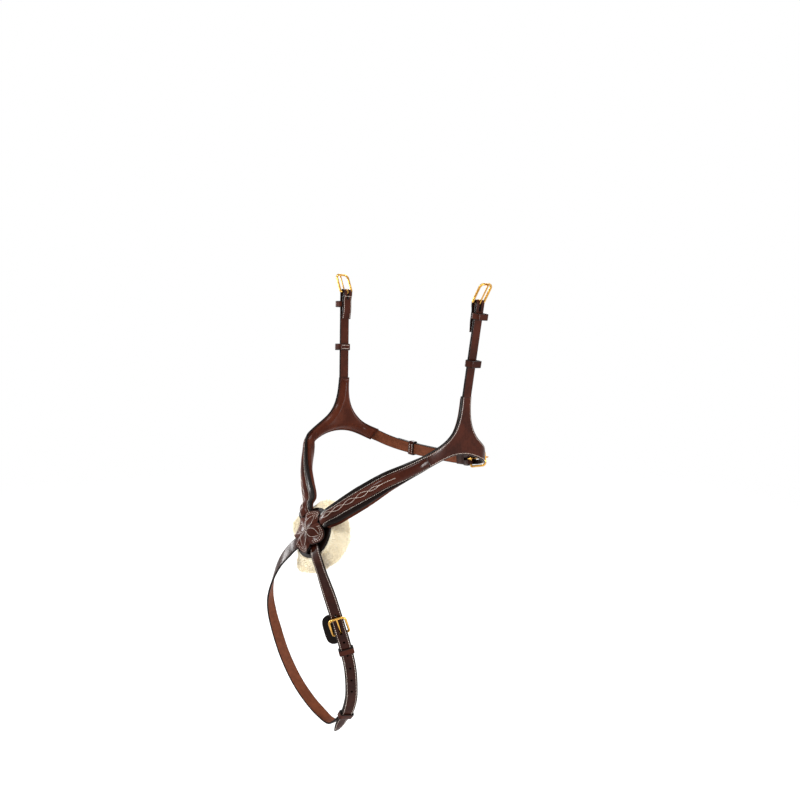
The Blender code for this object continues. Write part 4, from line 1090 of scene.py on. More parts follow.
def blow_up(piece, held, pressure, most):
    """Cloth pressure on a closed skin, its held points pinned and every move kept below a limit."""
    data = piece.data
    rest = np.zeros(len(data.vertices) * 3, dtype=np.float32)
    data.vertices.foreach_get("co", rest)
    rest = rest.reshape(-1, 3)
    data.vertices.foreach_set("co", (rest * SOLVER_SCALE).ravel())
    group = piece.vertex_groups.new(name="held")
    group.add([int(i) for i in held], 1.0, "REPLACE")
    cloth = piece.modifiers.new("cloth", "CLOTH")
    cloth.settings.quality = SOLVER_QUALITY
    cloth.settings.mass = SOLVER_MASS
    cloth.settings.tension_stiffness = STIFFNESS
    cloth.settings.compression_stiffness = STIFFNESS
    cloth.settings.bending_stiffness = BENDING
    cloth.settings.use_pressure = True
    cloth.settings.uniform_pressure_force = pressure
    cloth.settings.vertex_group_mass = "held"
    cloth.settings.effector_weights.gravity = 0.0
    cloth.collision_settings.use_collision = False
    cloth.point_cache.frame_start = 1
    cloth.point_cache.frame_end = SOLVER_FRAMES
    scene = bpy.context.scene
    for number in range(1, SOLVER_FRAMES + 1):
        scene.frame_set(number)
    graph = bpy.context.evaluated_depsgraph_get()
    shaped = piece.evaluated_get(graph).to_mesh()
    blown = np.zeros(len(rest) * 3, dtype=np.float32)
    shaped.vertices.foreach_get("co", blown)
    piece.evaluated_get(graph).to_mesh_clear()
    move = blown.reshape(-1, 3) / SOLVER_SCALE - rest
    size = np.linalg.norm(move, axis=1, keepdims=True)
    move *= np.minimum(1.0, most / np.maximum(size, 1e-9))
    piece.modifiers.clear()
    piece.vertex_groups.clear()
    data.vertices.foreach_set("co", (rest + move).ravel())
    data.update()
    scene.frame_set(1)
    print(piece.name, "swelled by up to", round(float(np.linalg.norm(move, axis=1).max()) / MM, 2), "mm")
    return piece


print("the cloth solver runs", SOLVER_FRAMES, "frames for each lining")

# %% [markdown]
# The side linings follow the same outline as their leather. Seven rings make the flat face against it and
# the sewn rim, which are held, and ten more rise over the foam's shoulder to its crown.

# %% The linings of the side pieces
LINING_THICKNESS = 1.0 * MM
LINING_RIM = 2.0 * MM
RIM_ROUND = 0.3 * MM
PAD_SHOULDER = 1.0 * MM
SIDE_CROWN = 3.6 * MM
UNDER = -DEEP - CLEARANCE
LINING_BASE = UNDER - LINING_THICKNESS
PAD_REACH = 4.7 * MM
PAD_TURNS = 9
PAD_GATHER = 1.5
SOLVER_ROOM = 0.6 * MM
LINING_PRESSURE = 4.0
SIDE_SWELL = 0.8 * MM
HELD_RINGS = 7


def lining_profile():
    """The skin of a side piece's pad, from the sewn face over the rim to the crown."""
    base = LINING_BASE
    rows = [(3.0 * MM, UNDER, 3.0, 1.0), (RIM_ROUND, UNDER, 0.0, 1.0), (0.0, UNDER - RIM_ROUND, 0.0, 0.5),
            (0.0, base + RIM_ROUND, 0.0, 0.5), (RIM_ROUND, base, 0.3, 0.0), (1.0 * MM, base, 1.0, 0.0),
            (LINING_RIM * 0.8, base + 0.1 * MM, 1.6, 0.0)]
    height = SIDE_CROWN + PAD_SHOULDER + CLEARANCE - SOLVER_ROOM
    for step in range(PAD_TURNS + 1):
        share = (step / PAD_TURNS)**PAD_GATHER
        distance = LINING_RIM + PAD_REACH * share
        rise = sqrt(max(0.0, 1 - (1 - share)**2))
        rows.append((distance, base - height * rise, distance / MM, 0.0))
    return rows


for word, hand in SIDES:
    piece = y_plate(word + "_side_lining", hand, lining_profile(), SOFT)
    blow_up(piece, range(len(OUTLINE) * HELD_RINGS), LINING_PRESSURE, SIDE_SWELL)
    dress(piece, word + "_side_lining", word + "_side_padding")
    print(piece.name, len(piece.data.polygons), "faces")

# %% [markdown]
# ## The rosette's own directions
# The rosette faces forwards and a little up. Everything on it is placed by how far it is to the right, how
# far up its face and how far out of it, so the same small function serves the cover, the straps that
# run under it and the fleece.

# %% Rosette directions
ROSETTE_FORWARD = 140.5 * MM
ROSETTE_DROP = 235.0 * MM
ROSETTE_TILT = radians(24.0)
ROSETTE_TURN = radians(-6.0)
OUTWARD = Vector((sin(ROSETTE_TURN) * cos(ROSETTE_TILT), -cos(ROSETTE_TURN) * cos(ROSETTE_TILT),
                  sin(ROSETTE_TILT)))
ACROSS = Vector((cos(ROSETTE_TURN), sin(ROSETTE_TURN), 0.0))
UPWARD = OUTWARD.cross(ACROSS)
ROSETTE = Vector((0.0, -ROSETTE_FORWARD, -ROSETTE_DROP))
ROSETTE_PLACE = Matrix.Translation(ROSETTE) @ Matrix((ACROSS, UPWARD, OUTWARD)).transposed().to_4x4()
BASE_RADIUS = 26.5 * MM
BASE_THICKNESS = 2.4 * MM
TAB_END_RADIUS = 10.5 * MM
PAD_END_RADIUS = 21.0 * MM
RAISED_END_RADIUS = 20.6 * MM
FLEECE_RADIUS = 38.5 * MM
LOBE_RADIUS = 23.0 * MM
NOTCH_RADIUS = 16.0 * MM


def on_rosette(right, up, out):
    return ROSETTE + ACROSS * right + UPWARD * up + OUTWARD * out


def notch_point(right, up, radius, out):
    """A point on the diagonal of one notch of the cover."""
    return on_rosette(right * sqrt(0.5) * radius, up * sqrt(0.5) * radius, out)


print("the rosette faces", tuple(round(v, 2) for v in OUTWARD))

# %% [markdown]
# ## Nose straps
# A nose strap is four layers: nearly black leather, a raised strip of brown leather over a filler, and the
# foam and lining behind. The leather bends down over the foam at its edges, so its lower band beside the
# strip faces away from the light, and its near-black colour is partly painted shade for that band. Its route
# leaves the side piece, bends round the nose through a few points that were fitted to the photograph, and
# ends flat under the rosette's cover.

# %% Nose strap routes and widths
HINT = 5.0 * MM
SEAM_GAP = 0.5 * MM
NOSE_WIDTH = 21.5 * MM
ROSETTE_END_WIDTH = 18.0 * MM
TAB_WIDTH = 11.4 * MM
RAISED_WIDTH = 10.5 * MM
RAISED_HEIGHT = 3.0 * MM
RAISED_EDGE = 0.9 * MM
RAISED_END_SHARE = 0.35
NOSE_CROWN = 4.2 * MM
NOSE_END_CROWN = 0.6 * MM
NOSE_RIM_RISE = 0.4 * MM
NOSE_NOTCH_RISE = 0.8 * MM
NOSE_TAPER_FROM = 43.0 * MM
NOSE_TAPER_LENGTH = 34.5 * MM
NOSE_WIDTH_SHARES = ((0.0, 0.28, 0.6), (0.0, 0.55, 1.0))
NOSE_DROOP = 0.9 * MM
NOSE_SHARES = {
    NEAR: ((0.10, 0.30, 0.14), (0.25, 0.54, 0.28), (0.44, 0.71, 0.47), (0.62, 0.83, 0.64),
           (0.82, 0.94, 0.83)),
    OFF: ((0.13, 0.21, 0.26), (0.33, 0.42, 0.46), (0.57, 0.62, 0.68), (0.82, 0.81, 0.87)),
}


def nose_route(hand):
    """A nose strap's centreline from its seam with the side piece to its end under the cover."""
    seam, facing = side_point(hand, -SIDE_FRONT_FORWARD, -SIDE_FRONT_DROP)
    ahead, _ = side_point(hand, -SIDE_FRONT_FORWARD - cos(SIDE_FRONT_SLOPE) * HINT,
                          -SIDE_FRONT_DROP - sin(SIDE_FRONT_SLOPE) * HINT)
    level = LINING_THICKNESS + NOSE_END_CROWN + PAD_SHOULDER + DEEP + 3 * CLEARANCE
    places = [
        notch_point(hand, 1, BASE_RADIUS + CLEARANCE, level + NOSE_RIM_RISE),
        notch_point(hand, 1, PAD_END_RADIUS, level),
        notch_point(hand, 1, NOTCH_RADIUS, CLEARANCE + DEEP + NOSE_NOTCH_RISE),
        notch_point(hand, 1, TAB_END_RADIUS, CLEARANCE + DEEP),
    ]
    span = places[1] - seam
    points, facings = [seam], [facing]
    for x, y, z in NOSE_SHARES[hand]:
        points.append(seam + Vector((span.x * x, span.y * y, span.z * z)))
        turn = (x + y) / 2
        facings.append(facing * (1 - turn) + OUTWARD * turn)
    return Route(points + places, facings + [OUTWARD] * len(places), (ahead - seam).normalized())


print("nose straps are", NOSE_WIDTH / MM, "mm wide over their foam")

# %% [markdown]
# The layers share their widths and heights, so they belong in one class. The lining is fuller along one
# edge, where the photograph shows the foam: the near strap's lower edge and the off strap's upper one. A
# place across a strap counts towards that edge on both sides.

# %% The layers of a nose strap
PAD_OVERLAP = 8.0 * MM
NOSE_BULGE = {NEAR: 4.8 * MM, OFF: 2.9 * MM}
BULGE_FADE = 5.0 * MM
NOSE_SWELL = 1.4 * MM
STRIP_POINTS = 23
STRIP_EDGE_RIM = 1.3
STRIP_END_RIM = 0.6
STRIP_HUMP = (2.6, 0.62)
FOOT_GAP = 0.8 * MM
FOOT_STOP = 1.5 * MM
LINING_END_SHARE = 0.4
LINING_END_LENGTH = 6.0 * MM
PAD_POINTS = 17
RIM_POINTS = 4
RIM_FACE = 1.2


class NoseStrap:
    """The sizes that the four layers of one nose strap share."""

    def __init__(self, word, hand):
        self.word = word
        self.hand = hand
        self.route = nose_route(hand)
        self.tab_end = self.route.length
        self.pad_end = self.tab_end - (PAD_END_RADIUS - TAB_END_RADIUS)
        self.strip_end = self.tab_end - (RAISED_END_RADIUS - TAB_END_RADIUS)

    def width(self, s):
        wider = float(np.interp(max(0.0, s) / self.pad_end, *NOSE_WIDTH_SHARES))
        wide = SIDE_ARM_WIDTH + (NOSE_WIDTH - SIDE_ARM_WIDTH) * wider
        wide += (ROSETTE_END_WIDTH - wide) * eased((s - self.pad_end) / NOSE_WIDTH + 1)
        return wide + (TAB_WIDTH - wide) * eased((s - self.pad_end) / MM)

    def crown(self, s):
        swell = SIDE_CROWN + (NOSE_CROWN - SIDE_CROWN) * eased(s / NOSE_WIDTH)
        fall = eased((s - self.pad_end + NOSE_TAPER_FROM) / NOSE_TAPER_LENGTH)
        return swell + (NOSE_END_CROWN - swell) * fall

    def droop(self, s):
        """How the leather bends down beside the raised strip, as a function of the place across."""
        most = NOSE_DROOP * eased(s / NOSE_WIDTH)
        most *= 1 - eased((s - self.pad_end + NOSE_WIDTH) / NOSE_WIDTH)
        foot = RAISED_WIDTH / 2
        reach = max(MM, self.width(s) / 2 - foot)
        return lambda x: most * (max(0.0, abs(x) - foot) / reach)**2

    def leather(self):
        def shape(s):
            return {"width": self.width(s), "low": -DEEP, "high": DEEP, "droop": self.droop(s)}

        name = self.word + "_nose_strap"
        # The near-black leather is partly painted shade for the band below the raised strip.
        dress(strap(name, self.route, -TUCK, self.tab_end, shape, BLACK_GRAIN), name)

    def rise(self, s):
        ends = eased((s - SEAM_GAP) / RAISED_WIDTH) * eased((self.strip_end - s) / RAISED_WIDTH)
        share = RAISED_END_SHARE + (1 - RAISED_END_SHARE) * ends
        return RAISED_EDGE + (RAISED_HEIGHT - RAISED_EDGE) * share

    def strip_level(self, s, across):
        """The strip's outer face at a place across: a rounded hump."""
        share = min(1.0, abs(across) / (RAISED_WIDTH / 2))
        return DEEP + CLEARANCE + self.rise(s) * (1 - share**STRIP_HUMP[0])**STRIP_HUMP[1]

    def strip(self):
        rows = []
        shares = np.sin(np.linspace(-pi / 2, pi / 2, STRIP_POINTS)).tolist()
        rims = [(RAISED_WIDTH / 2 * (1 - abs(share)) / MM + STRIP_EDGE_RIM, 0.0) for share in shares]
        for s in stations(0.0, self.strip_end):
            pull, near = end_pull(s, 0.0, self.strip_end)
            half = RAISED_WIDTH / 2 - pull
            levels = [self.strip_level(s, RAISED_WIDTH / 2 * share) - pull for share in shares]
            ring = [(half * share, level) for share, level in zip(shares, levels)]
            ring += [(half * share, DEEP) for share in (1.0, 0.5, -0.5, -1.0)]
            skin = [(min(rim, near / MM + STRIP_END_RIM), inside) for rim, inside in rims + [(0.0, 1.0)] * 4]
            rows.append(([self.route.at(s, x, y) for x, y in ring], skin))
        dress(loft(self.word + "_raised_strip", rows, GRAIN), self.word + "_raised_strip")

    def lining_ring(self, s, near):
        """Points across and out from the left rim over the foam's crown and back behind the leather."""
        half = ROSETTE_END_WIDTH / 2 if s > self.pad_end - MM else self.width(s) / 2
        inner = half - LINING_RIM
        base = LINING_BASE
        height = self.crown(s) + PAD_SHOULDER + CLEARANCE - SOLVER_ROOM
        height *= min(1.0, LINING_END_SHARE + near / LINING_END_LENGTH)
        bulge = NOSE_BULGE[self.hand] * eased(s / NOSE_WIDTH) * eased((self.pad_end - s) / BULGE_FADE)
        rim = [(0.0, UNDER - RIM_ROUND, 0.0, 0.5), (0.0, base + RIM_ROUND, 0.0, 0.5),
               (RIM_ROUND, base, 0.3, 0.0), (RIM_FACE * MM, base, RIM_FACE, 0.0)]
        ring = [(x - half, y, mark, inside) for x, y, mark, inside in rim]
        for turn in np.cos(np.linspace(pi, 0.0, PAD_POINTS)).tolist():
            lift = sqrt(sqrt(max(0.0, 1 - turn * turn)))
            across = inner * turn + (bulge * sin(pi * lift) if turn > 0 else 0.0)
            ring.append((across, base - height * lift, 2.0 + (1 - abs(turn)) * inner / MM, 0.0))
        ring += [(half - x, y, mark, inside) for x, y, mark, inside in reversed(rim)]
        back = ((half - RIM_ROUND, 0.0), (half * 0.5, 2.0), (-half * 0.5, 2.0), (RIM_ROUND - half, 0.0))
        ring += [(x, UNDER, mark, 1.0) for x, mark in back]
        droop = self.droop(s)
        places = [self.route.at(s, x, y - droop(min(x, half))) for x, y, _, _ in ring]
        return places, [(mark, inside) for _, _, mark, inside in ring]

    def lining(self):
        """The lining, with its rim and both ends held while the foam swells."""
        rows, held = [], []
        for s in stations(-PAD_OVERLAP, self.pad_end):
            row = self.lining_ring(s, min(s + PAD_OVERLAP, self.pad_end - s))
            start = len(rows) * len(row[0])
            pinned = s < TUCK or s > self.pad_end - 2 * MM
            held += [start + i for i in range(len(row[0]))
                     if pinned or i <= RIM_POINTS or i >= RIM_POINTS + PAD_POINTS - 1]
            rows.append(row)
        name = self.word + "_nose_lining"
        piece = blow_up(loft(name, rows, SOFT), held, LINING_PRESSURE, NOSE_SWELL)
        dress(piece, name, self.word + "_nose_padding")

    def thread(self):
        """A row of stitches at each foot of the strip."""
        foot = RAISED_WIDTH / 2 + FOOT_GAP
        last = self.strip_end - FOOT_STOP
        sew(self.word + "_nose_thread", [self.route.row(MM, last, side * foot, DEEP) for side in (-1, 1)])


print("the linings bulge by", NOSE_BULGE[NEAR] / MM, "mm near and", NOSE_BULGE[OFF] / MM, "mm off")

# %% [markdown]
# The fancy stitching is a saddler's traditional one: two waves that cross each other and leave a
# chain of lozenges between them, with a long straight tail at the end away from the rosette.

# %% The nose straps with their fancy stitching
WAVE_LENGTH = 15.0 * MM
WAVE_REACH = 2.1 * MM
WAVE_RUN_SHARE = 0.60
WAVE_STOP_SHARE = 0.7
TAIL_RUN_SHARE = 0.10
THREAD_RISE = 0.02 * MM


def fancy_rows(nose):
    """Two crossing waves on the strip's crown and a tail that runs out of them."""
    first = nose.pad_end * (1 - WAVE_RUN_SHARE)
    last = nose.strip_end - RAISED_WIDTH * WAVE_STOP_SHARE
    tail = first - nose.pad_end * TAIL_RUN_SHARE
    rows = []
    for turn in (-1, 1):
        def wave(s):
            swell = eased((s - first) / WAVE_LENGTH)
            return turn * WAVE_REACH * swell * sin(pi * (s - first) / WAVE_LENGTH)

        def across(s):
            return wave(s) if s > first else 0.0

        rows.append(nose.route.row(tail if turn > 0 else first, last, across,
                                   lambda s: nose.strip_level(s, wave(s)) + THREAD_RISE))
    return rows


for word, hand in SIDES:
    nose = NoseStrap(word, hand)
    nose.leather()
    nose.strip()
    nose.lining()
    nose.thread()
    sew(word + "_fancy_thread", fancy_rows(nose), Pitch=1.9 * MM)
    print(word, "nose strap:", round(nose.tab_end / MM, 1), "mm long")

# %% [markdown]
# ## The rosette's cover
# Four lobes, a dome and four arches for the straps follow one rule in polar terms, so this main piece
# is a Geometry Nodes grid whose columns are turned into angles and whose rows become rings. The furrows
# of the star are part of the same formula: they lie where a petal's outline runs.

# %% The cover as a formula on sockets
COVER_HEIGHT = 9.0 * MM
ARCH_HEIGHT = 6.4 * MM
ARCH_SHARE = 0.62
COVER_THICKNESS = 1.8 * MM
DOME_POWER = 2.2
LOBE_POWER = 0.7
PETAL_LENGTH_SHARE = 0.80
PETAL_WIDTH = 4.3 * MM
STAR_DEPTH = 0.30 * MM
STAR_WIDTH = 0.9 * MM
COVER_COLUMNS = 241
COVER_ROWS = 34
COVER_RIM = 0.5 * MM


def cover_tree():
    """Lobes, dome, arches and star furrows of the cover, in the rosette's own directions."""
    kinds = dict.fromkeys(("Lobe", "Notch", "Height", "Arch", "Seat", "Star Depth", "Petal Width"), FLOAT)
    tree, given = geometry_tree("rosette cover", {**kinds, "Leather": MATERIAL})
    lobe, notch = given["Lobe"], given["Notch"]
    height, arch = given["Height"], given["Arch"]
    grid = tree.node("GeometryNodeMeshGrid", values={
        "Size X": 1.0, "Size Y": 1.0, "Vertices X": COVER_COLUMNS, "Vertices Y": COVER_ROWS})
    place = tree.node("ShaderNodeSeparateXYZ", values=[tree.node("GeometryNodeInputPosition")])
    angle = (place + 0.5) * (2 * pi)
    share = place["Y"] + 0.5
    petal = tree.math("ABSOLUTE", tree.math("COSINE", angle * 2))
    edge = notch + (lobe - notch) * petal**LOBE_POWER
    down = tree.math("MAXIMUM", petal - ARCH_SHARE, 0.0) * (1 / (1 - ARCH_SHARE))
    rim = arch + (given["Seat"] - arch) * down
    radius = edge * share
    turned = tree.math("WRAP", angle, pi / 4, -pi / 4)
    along = radius * tree.math("COSINE", turned)
    aside = tree.math("ABSOLUTE", radius * tree.math("SINE", turned))
    run = tree.math("MINIMUM", along * (1 / (PETAL_LENGTH_SHARE * LOBE_RADIUS)), 1.0)
    line = tree.math("SINE", run * pi) * given["Petal Width"]
    furrow = tree.near(aside - line, 0.0, STAR_WIDTH) * tree.step(run, 0.02, 0.10)
    furrow = furrow * (1 - tree.step(run, 0.9, 1.0))
    level = height + (rim - height) * share**DOME_POWER - furrow * given["Star Depth"]
    spot = tree.node("ShaderNodeCombineXYZ", values=[
        radius * tree.math("COSINE", angle), radius * tree.math("SINE", angle), level])
    away = (1 - share) * edge * (1 / MM)
    skin = tree.node("ShaderNodeCombineXYZ", values=[away, 0.0, 0.0])
    mapped = tree.node("GeometryNodeStoreNamedAttribute", {"data_type": "FLOAT2", "domain": "CORNER"},
                       {"Geometry": grid, "Name": "skin", "Value": skin})
    bent = tree.node("GeometryNodeSetPosition", values={"Geometry": mapped, "Position": spot})
    joined = tree.node("GeometryNodeMergeByDistance", values={"Geometry": bent, "Distance": 0.01 * MM})
    shape = tree.node("GeometryNodeFlipFaces", values={"Mesh": joined})
    return end_tree(tree, shape, given["Leather"])


def cover():
    """The cover, thickened inwards and rounded at its rim."""
    piece = placed("rosette_cover_skin", bpy.data.meshes.new("rosette_cover_skin"))
    run_tree(piece, cover_tree(), {
        "Lobe": LOBE_RADIUS, "Notch": NOTCH_RADIUS, "Height": COVER_HEIGHT + COVER_THICKNESS / 2,
        "Arch": ARCH_HEIGHT + COVER_THICKNESS / 2, "Seat": CLEARANCE + COVER_THICKNESS,
        "Star Depth": STAR_DEPTH, "Petal Width": PETAL_WIDTH, "Leather": GRAIN,
    })
    piece.data.transform(ROSETTE_PLACE)
    wall = piece.modifiers.new("wall", "SOLIDIFY")
    wall.thickness = COVER_THICKNESS
    wall.offset = -1.0
    soft = piece.modifiers.new("soft rim", "BEVEL")
    soft.width = COVER_RIM
    soft.segments = 3
    soft.limit_method = "ANGLE"
    soft.angle_limit = radians(55.0)
    settle(piece)
    piece.data.shade_smooth()
    piece.data.set_sharp_from_angle(angle=SHARP)
    return dress(piece, "rosette_cover")


def cover_edge(angle):
    return NOTCH_RADIUS + (LOBE_RADIUS - NOTCH_RADIUS) * abs(cos(2 * angle))**LOBE_POWER


def cover_level(right, up):
    """The cover's outer face, by the same rule as its tree, for the thread that lies on it."""
    radius = sqrt(right * right + up * up)
    angle = np.arctan2(up, right)
    petal = abs(cos(2 * angle))
    edge = cover_edge(angle)
    down = max(0.0, petal - ARCH_SHARE) / (1 - ARCH_SHARE)
    rim = ARCH_HEIGHT + (CLEARANCE + COVER_THICKNESS / 2 - ARCH_HEIGHT) * down
    return COVER_HEIGHT + (rim - COVER_HEIGHT) * (radius / edge)**DOME_POWER + COVER_THICKNESS / 2


piece = cover()
print("cover:", len(piece.data.polygons), "faces")

# %% [markdown]
# The thread on the cover follows the same rule in plain Python. Each petal of the star is edged with two
# lines, and two rows run round the end of each lobe. A round base of dyed leather lies underneath.

# %% The star, the lobes' rows and the base
LOBE_ROW_INSETS = (2.0 * MM, 4.0 * MM)
LOBE_ROW_HALF_ANGLE = radians(27.0)
NUDGE = 0.2 * MM
PETAL_ENDS = (0.02, 0.99)
BASE_TURNS = 96
BASE_FALL = 0.1 * MM


def swung(along, aside, angle):
    """A place on the rosette turned about its middle."""
    return along * cos(angle) - aside * sin(angle), along * sin(angle) + aside * cos(angle)


def on_cover(right, up, sink):
    """A point on the cover and the way out of it there."""
    here = on_rosette(right, up, cover_level(right, up))
    east = on_rosette(right + NUDGE, up, cover_level(right + NUDGE, up))
    north = on_rosette(right, up + NUDGE, cover_level(right, up + NUDGE))
    out = (east - here).cross(north - here).normalized()
    return here - out * sink, out


def star_rows():
    length = PETAL_LENGTH_SHARE * LOBE_RADIUS
    rows = []
    for lobe in range(4):
        for side in (-1, 1):
            petal = [(t * length, side * PETAL_WIDTH * sin(pi * t)) for t in evenly(*PETAL_ENDS, 40)]
            rows.append([on_cover(*swung(x, y, pi / 2 * lobe), STAR_DEPTH * 0.5) for x, y in petal])
    return rows


def lobe_rows():
    rows = []
    for lobe in range(4):
        for gap in LOBE_ROW_INSETS:
            angles = [a + pi / 2 * lobe for a in evenly(-LOBE_ROW_HALF_ANGLE, LOBE_ROW_HALF_ANGLE, 30)]
            rows.append([on_cover(*swung(cover_edge(a) - gap, 0.0, a), 0.0) for a in angles])
    return rows


def base():
    """The round leather under the straps, with rounded edges."""
    ring = section(2 * BASE_RADIUS, -BASE_THICKNESS, 0.0, fall=BASE_FALL)
    half = [(x, y, rim, inside) for (x, y), (rim, inside) in ring if x > 0]
    far = BASE_RADIUS / MM
    rows = []
    for x, y, rim, inside in [(2.0 * MM, 0.0, far, 0.0), *half, (2.0 * MM, -BASE_THICKNESS, far, 1.0)]:
        places = [on_rosette(*swung(x, 0.0, angle), y) for angle in around(BASE_TURNS)]
        rows.append((places, [(rim, inside)] * BASE_TURNS))
    return dress(loft("rosette_base", rows, BLACK_GRAIN), "rosette_base")


base()
sew("star_thread", star_rows(), Pitch=1.25 * MM, Length=1.25 * MM, Width=0.36 * MM)
sew("lobe_thread", lobe_rows(), Pitch=2.1 * MM, Length=1.3 * MM, Width=0.55 * MM)

# %% [markdown]
# ## The fleece
# The pad is a round of sheepskin that lies on the nose and wraps a little round it. Its body is a closed
# skin with broad lumps, blown up by the cloth solver while the part under the base is held. In three
# directions it reaches further or is fuller than a round would be, as it is in the photograph.

# %% The fleece's body
FLEECE_THICKNESS = 11.0 * MM
FLEECE_WRAP_RADIUS = 62.0 * MM
FLEECE_EDGE = 4.0 * MM
FLEECE_FALL = 8.5 * MM
PILE = 2.4 * MM
FLEECE_TURNS = 120
FLEECE_SHARES = (0.06, 0.3, 0.55, 0.70, 0.78, 0.86, 0.92, 0.965, 0.99)
ROUND_FROM = 0.80
PILE_FADE = 3.0 * MM
SWELL_FADE = 8.0 * MM
LUMP_SIZE = 9.0 * MM
LUMP_HEIGHT = 1.1 * MM
FLEECE_PRESSURE = 3.0
FLEECE_SWELL = 1.0 * MM
SWELLS = ((radians(177), radians(27), 10.5 * MM, 13.0 * MM), (radians(238), radians(22), 9.5 * MM, 0.0),
          (radians(275), radians(26), 3.5 * MM, 0.0))


def fleece_front(radius, angle):
    """The level of the fleece's front: flat under the base, falling away round it."""
    flat = BASE_RADIUS + CLEARANCE
    share = max(0.0, (radius - flat) / (FLEECE_RADIUS - flat))
    return -BASE_THICKNESS - CLEARANCE - FLEECE_EDGE * share**2 - FLEECE_FALL * share * abs(cos(angle))


def fleece_back(radius, angle):
    wrap = (radius * cos(angle))**2 / (2 * FLEECE_WRAP_RADIUS)
    return -BASE_THICKNESS - CLEARANCE - FLEECE_THICKNESS - wrap


def swell(angle, column):
    """How much further the fleece reaches (column 2) or how much fuller it is (column 3) in a direction."""
    return sum(row[column] * exp(-((angle - row[0]) / row[1])**2) for row in SWELLS)


def fleece_spot(share, angle, side):
    """A point of the body, and how far it is from the rosette's middle."""
    radius = share * (FLEECE_RADIUS - PILE * 0.3 + swell(angle, 2))
    past = radius - BASE_RADIUS
    back = fleece_back(radius, angle) + PILE
    front = fleece_front(min(radius, FLEECE_RADIUS), angle) - PILE * eased(past / PILE_FADE) * 0.7
    front += swell(angle, 3) * eased(past / SWELL_FADE)
    turn = max(0.0, (share - ROUND_FROM) / (1 - ROUND_FROM))
    round_in = (front - back) * (1 - sqrt(max(0.0, 1 - turn**2))) * 0.5
    level = {"front": front - round_in, "middle": (front + back) / 2, "back": back + round_in}[side]
    spot = on_rosette(*swung(radius, 0.0, angle), level)
    if past > MM or side == "back":
        spot += (spot - ROSETTE).normalized() * (LUMP_HEIGHT * noise.noise(spot / LUMP_SIZE))
    return spot


def fleece_body():
    """Rings from the front's middle round the thick edge to the back's middle."""
    levels = [(share, "front") for share in FLEECE_SHARES] + [(1.0, "middle")]
    levels += [(share, "back") for share in reversed(FLEECE_SHARES)]
    rows, held = [], []
    for share, side in levels:
        if side == "front" and share * FLEECE_RADIUS < BASE_RADIUS + MM:
            held += range(len(rows) * FLEECE_TURNS, (len(rows) + 1) * FLEECE_TURNS)
        places = [fleece_spot(share, angle, side) for angle in around(FLEECE_TURNS)]
        rows.append((places, [(0.5, 0.0)] * FLEECE_TURNS))
    return blow_up(loft("fleece_body", rows, WOOL), held, FLEECE_PRESSURE, FLEECE_SWELL)


print("a fleece ring has", FLEECE_TURNS, "points")

# %% [markdown]
# The wool is thousands of short curled locks, which is a repeat over a surface: Geometry Nodes scatter
# them, lean them about the skin's own direction in clumps and vary their size. None grow where the base
# covers the fleece.

# %% The wool's locks
LOCK_SIDES = 3
LOCK_STEPS = 2
LOCK_THICKNESS_SHARE = 0.16
CLUMP = 1 / (6.0 * MM)
LOCKS = {"Density": 1.35e6, "Least Size": 0.55, "Most Size": 1.0, "Lean": 2.2, "Stray": 0.5}


def lock_shape():
    """One curled lock of wool, its root at the origin and its tip up."""
    rows = []
    for step in range(LOCK_STEPS + 1):
        share = step / LOCK_STEPS
        thick = PILE * LOCK_THICKNESS_SHARE * (1 - 0.8 * share)
        bend = Vector((sin(share * 2.6) * 0.42, (1 - cos(share * 3.2)) * 0.22, share * 0.92)) * PILE
        places = [bend + Vector((thick * cos(a), thick * sin(a), 0)) for a in around(LOCK_SIDES)]
        rows.append((places, [(share, 0.0)] * LOCK_SIDES))
    piece = loft("lock", rows, WOOL)
    held = piece.data.attributes.new("lock", "FLOAT", "POINT")
    points = range(len(piece.data.vertices))
    held.data.foreach_set("value", [point // LOCK_SIDES / LOCK_STEPS for point in points])
    return piece


def any_way(tree, seed):
    """A random vector for each point."""
    return tree.node("FunctionNodeRandomValue", {"data_type": "FLOAT_VECTOR"},
                     {0: (-1.0, -1.0, -1.0), 1: (1.0, 1.0, 1.0), "Seed": seed})


def wool_tree():
    """Locks scattered over a skin, leaning about its own direction, in several sizes."""
    kinds = {"Lock": "NodeSocketObject", **dict.fromkeys(LOCKS, FLOAT), "Wool": MATERIAL}
    tree, given = geometry_tree("wool", kinds)
    spread = {"Mesh": given, "Density": given["Density"], "Seed": 3}
    points = tree.node("GeometryNodeDistributePointsOnFaces", {"distribute_method": "RANDOM"}, spread)
    clumps = tree.noise(tree.node("GeometryNodeInputPosition"), CLUMP, 2.0)["Color"]
    swirl = tree.vector("SUBTRACT", clumps, (0.5, 0.5, 0.5))
    upright = tree.vector("ADD", points["Normal"], tree.scaled(swirl, given["Lean"]))
    upright = tree.vector("ADD", upright, tree.scaled(any_way(tree, 5), given["Stray"]))
    axes = {"primary_axis": "Z", "secondary_axis": "X"}
    turned = tree.node("FunctionNodeAxesToRotation", axes, [upright, any_way(tree, 6)])
    sizes = {2: given["Least Size"], 3: given["Most Size"], "Seed": 7}
    size = tree.node("FunctionNodeRandomValue", {"data_type": "FLOAT"}, sizes, 1)
    shape = tree.node("GeometryNodeObjectInfo", values={"Object": given["Lock"]}, output="Geometry")
    grown = tree.node("GeometryNodeInstanceOnPoints",
                      values={"Points": points, "Instance": shape, "Rotation": turned, "Scale": size})
    return end_tree(tree, grown, given["Wool"])


def under_base(place):
    """Whether a place on the fleece is covered by the base."""
    away = place - ROSETTE
    return away.dot(OUTWARD) > -BASE_THICKNESS - 2 * MM and away.length < BASE_RADIUS - 0.3 * MM


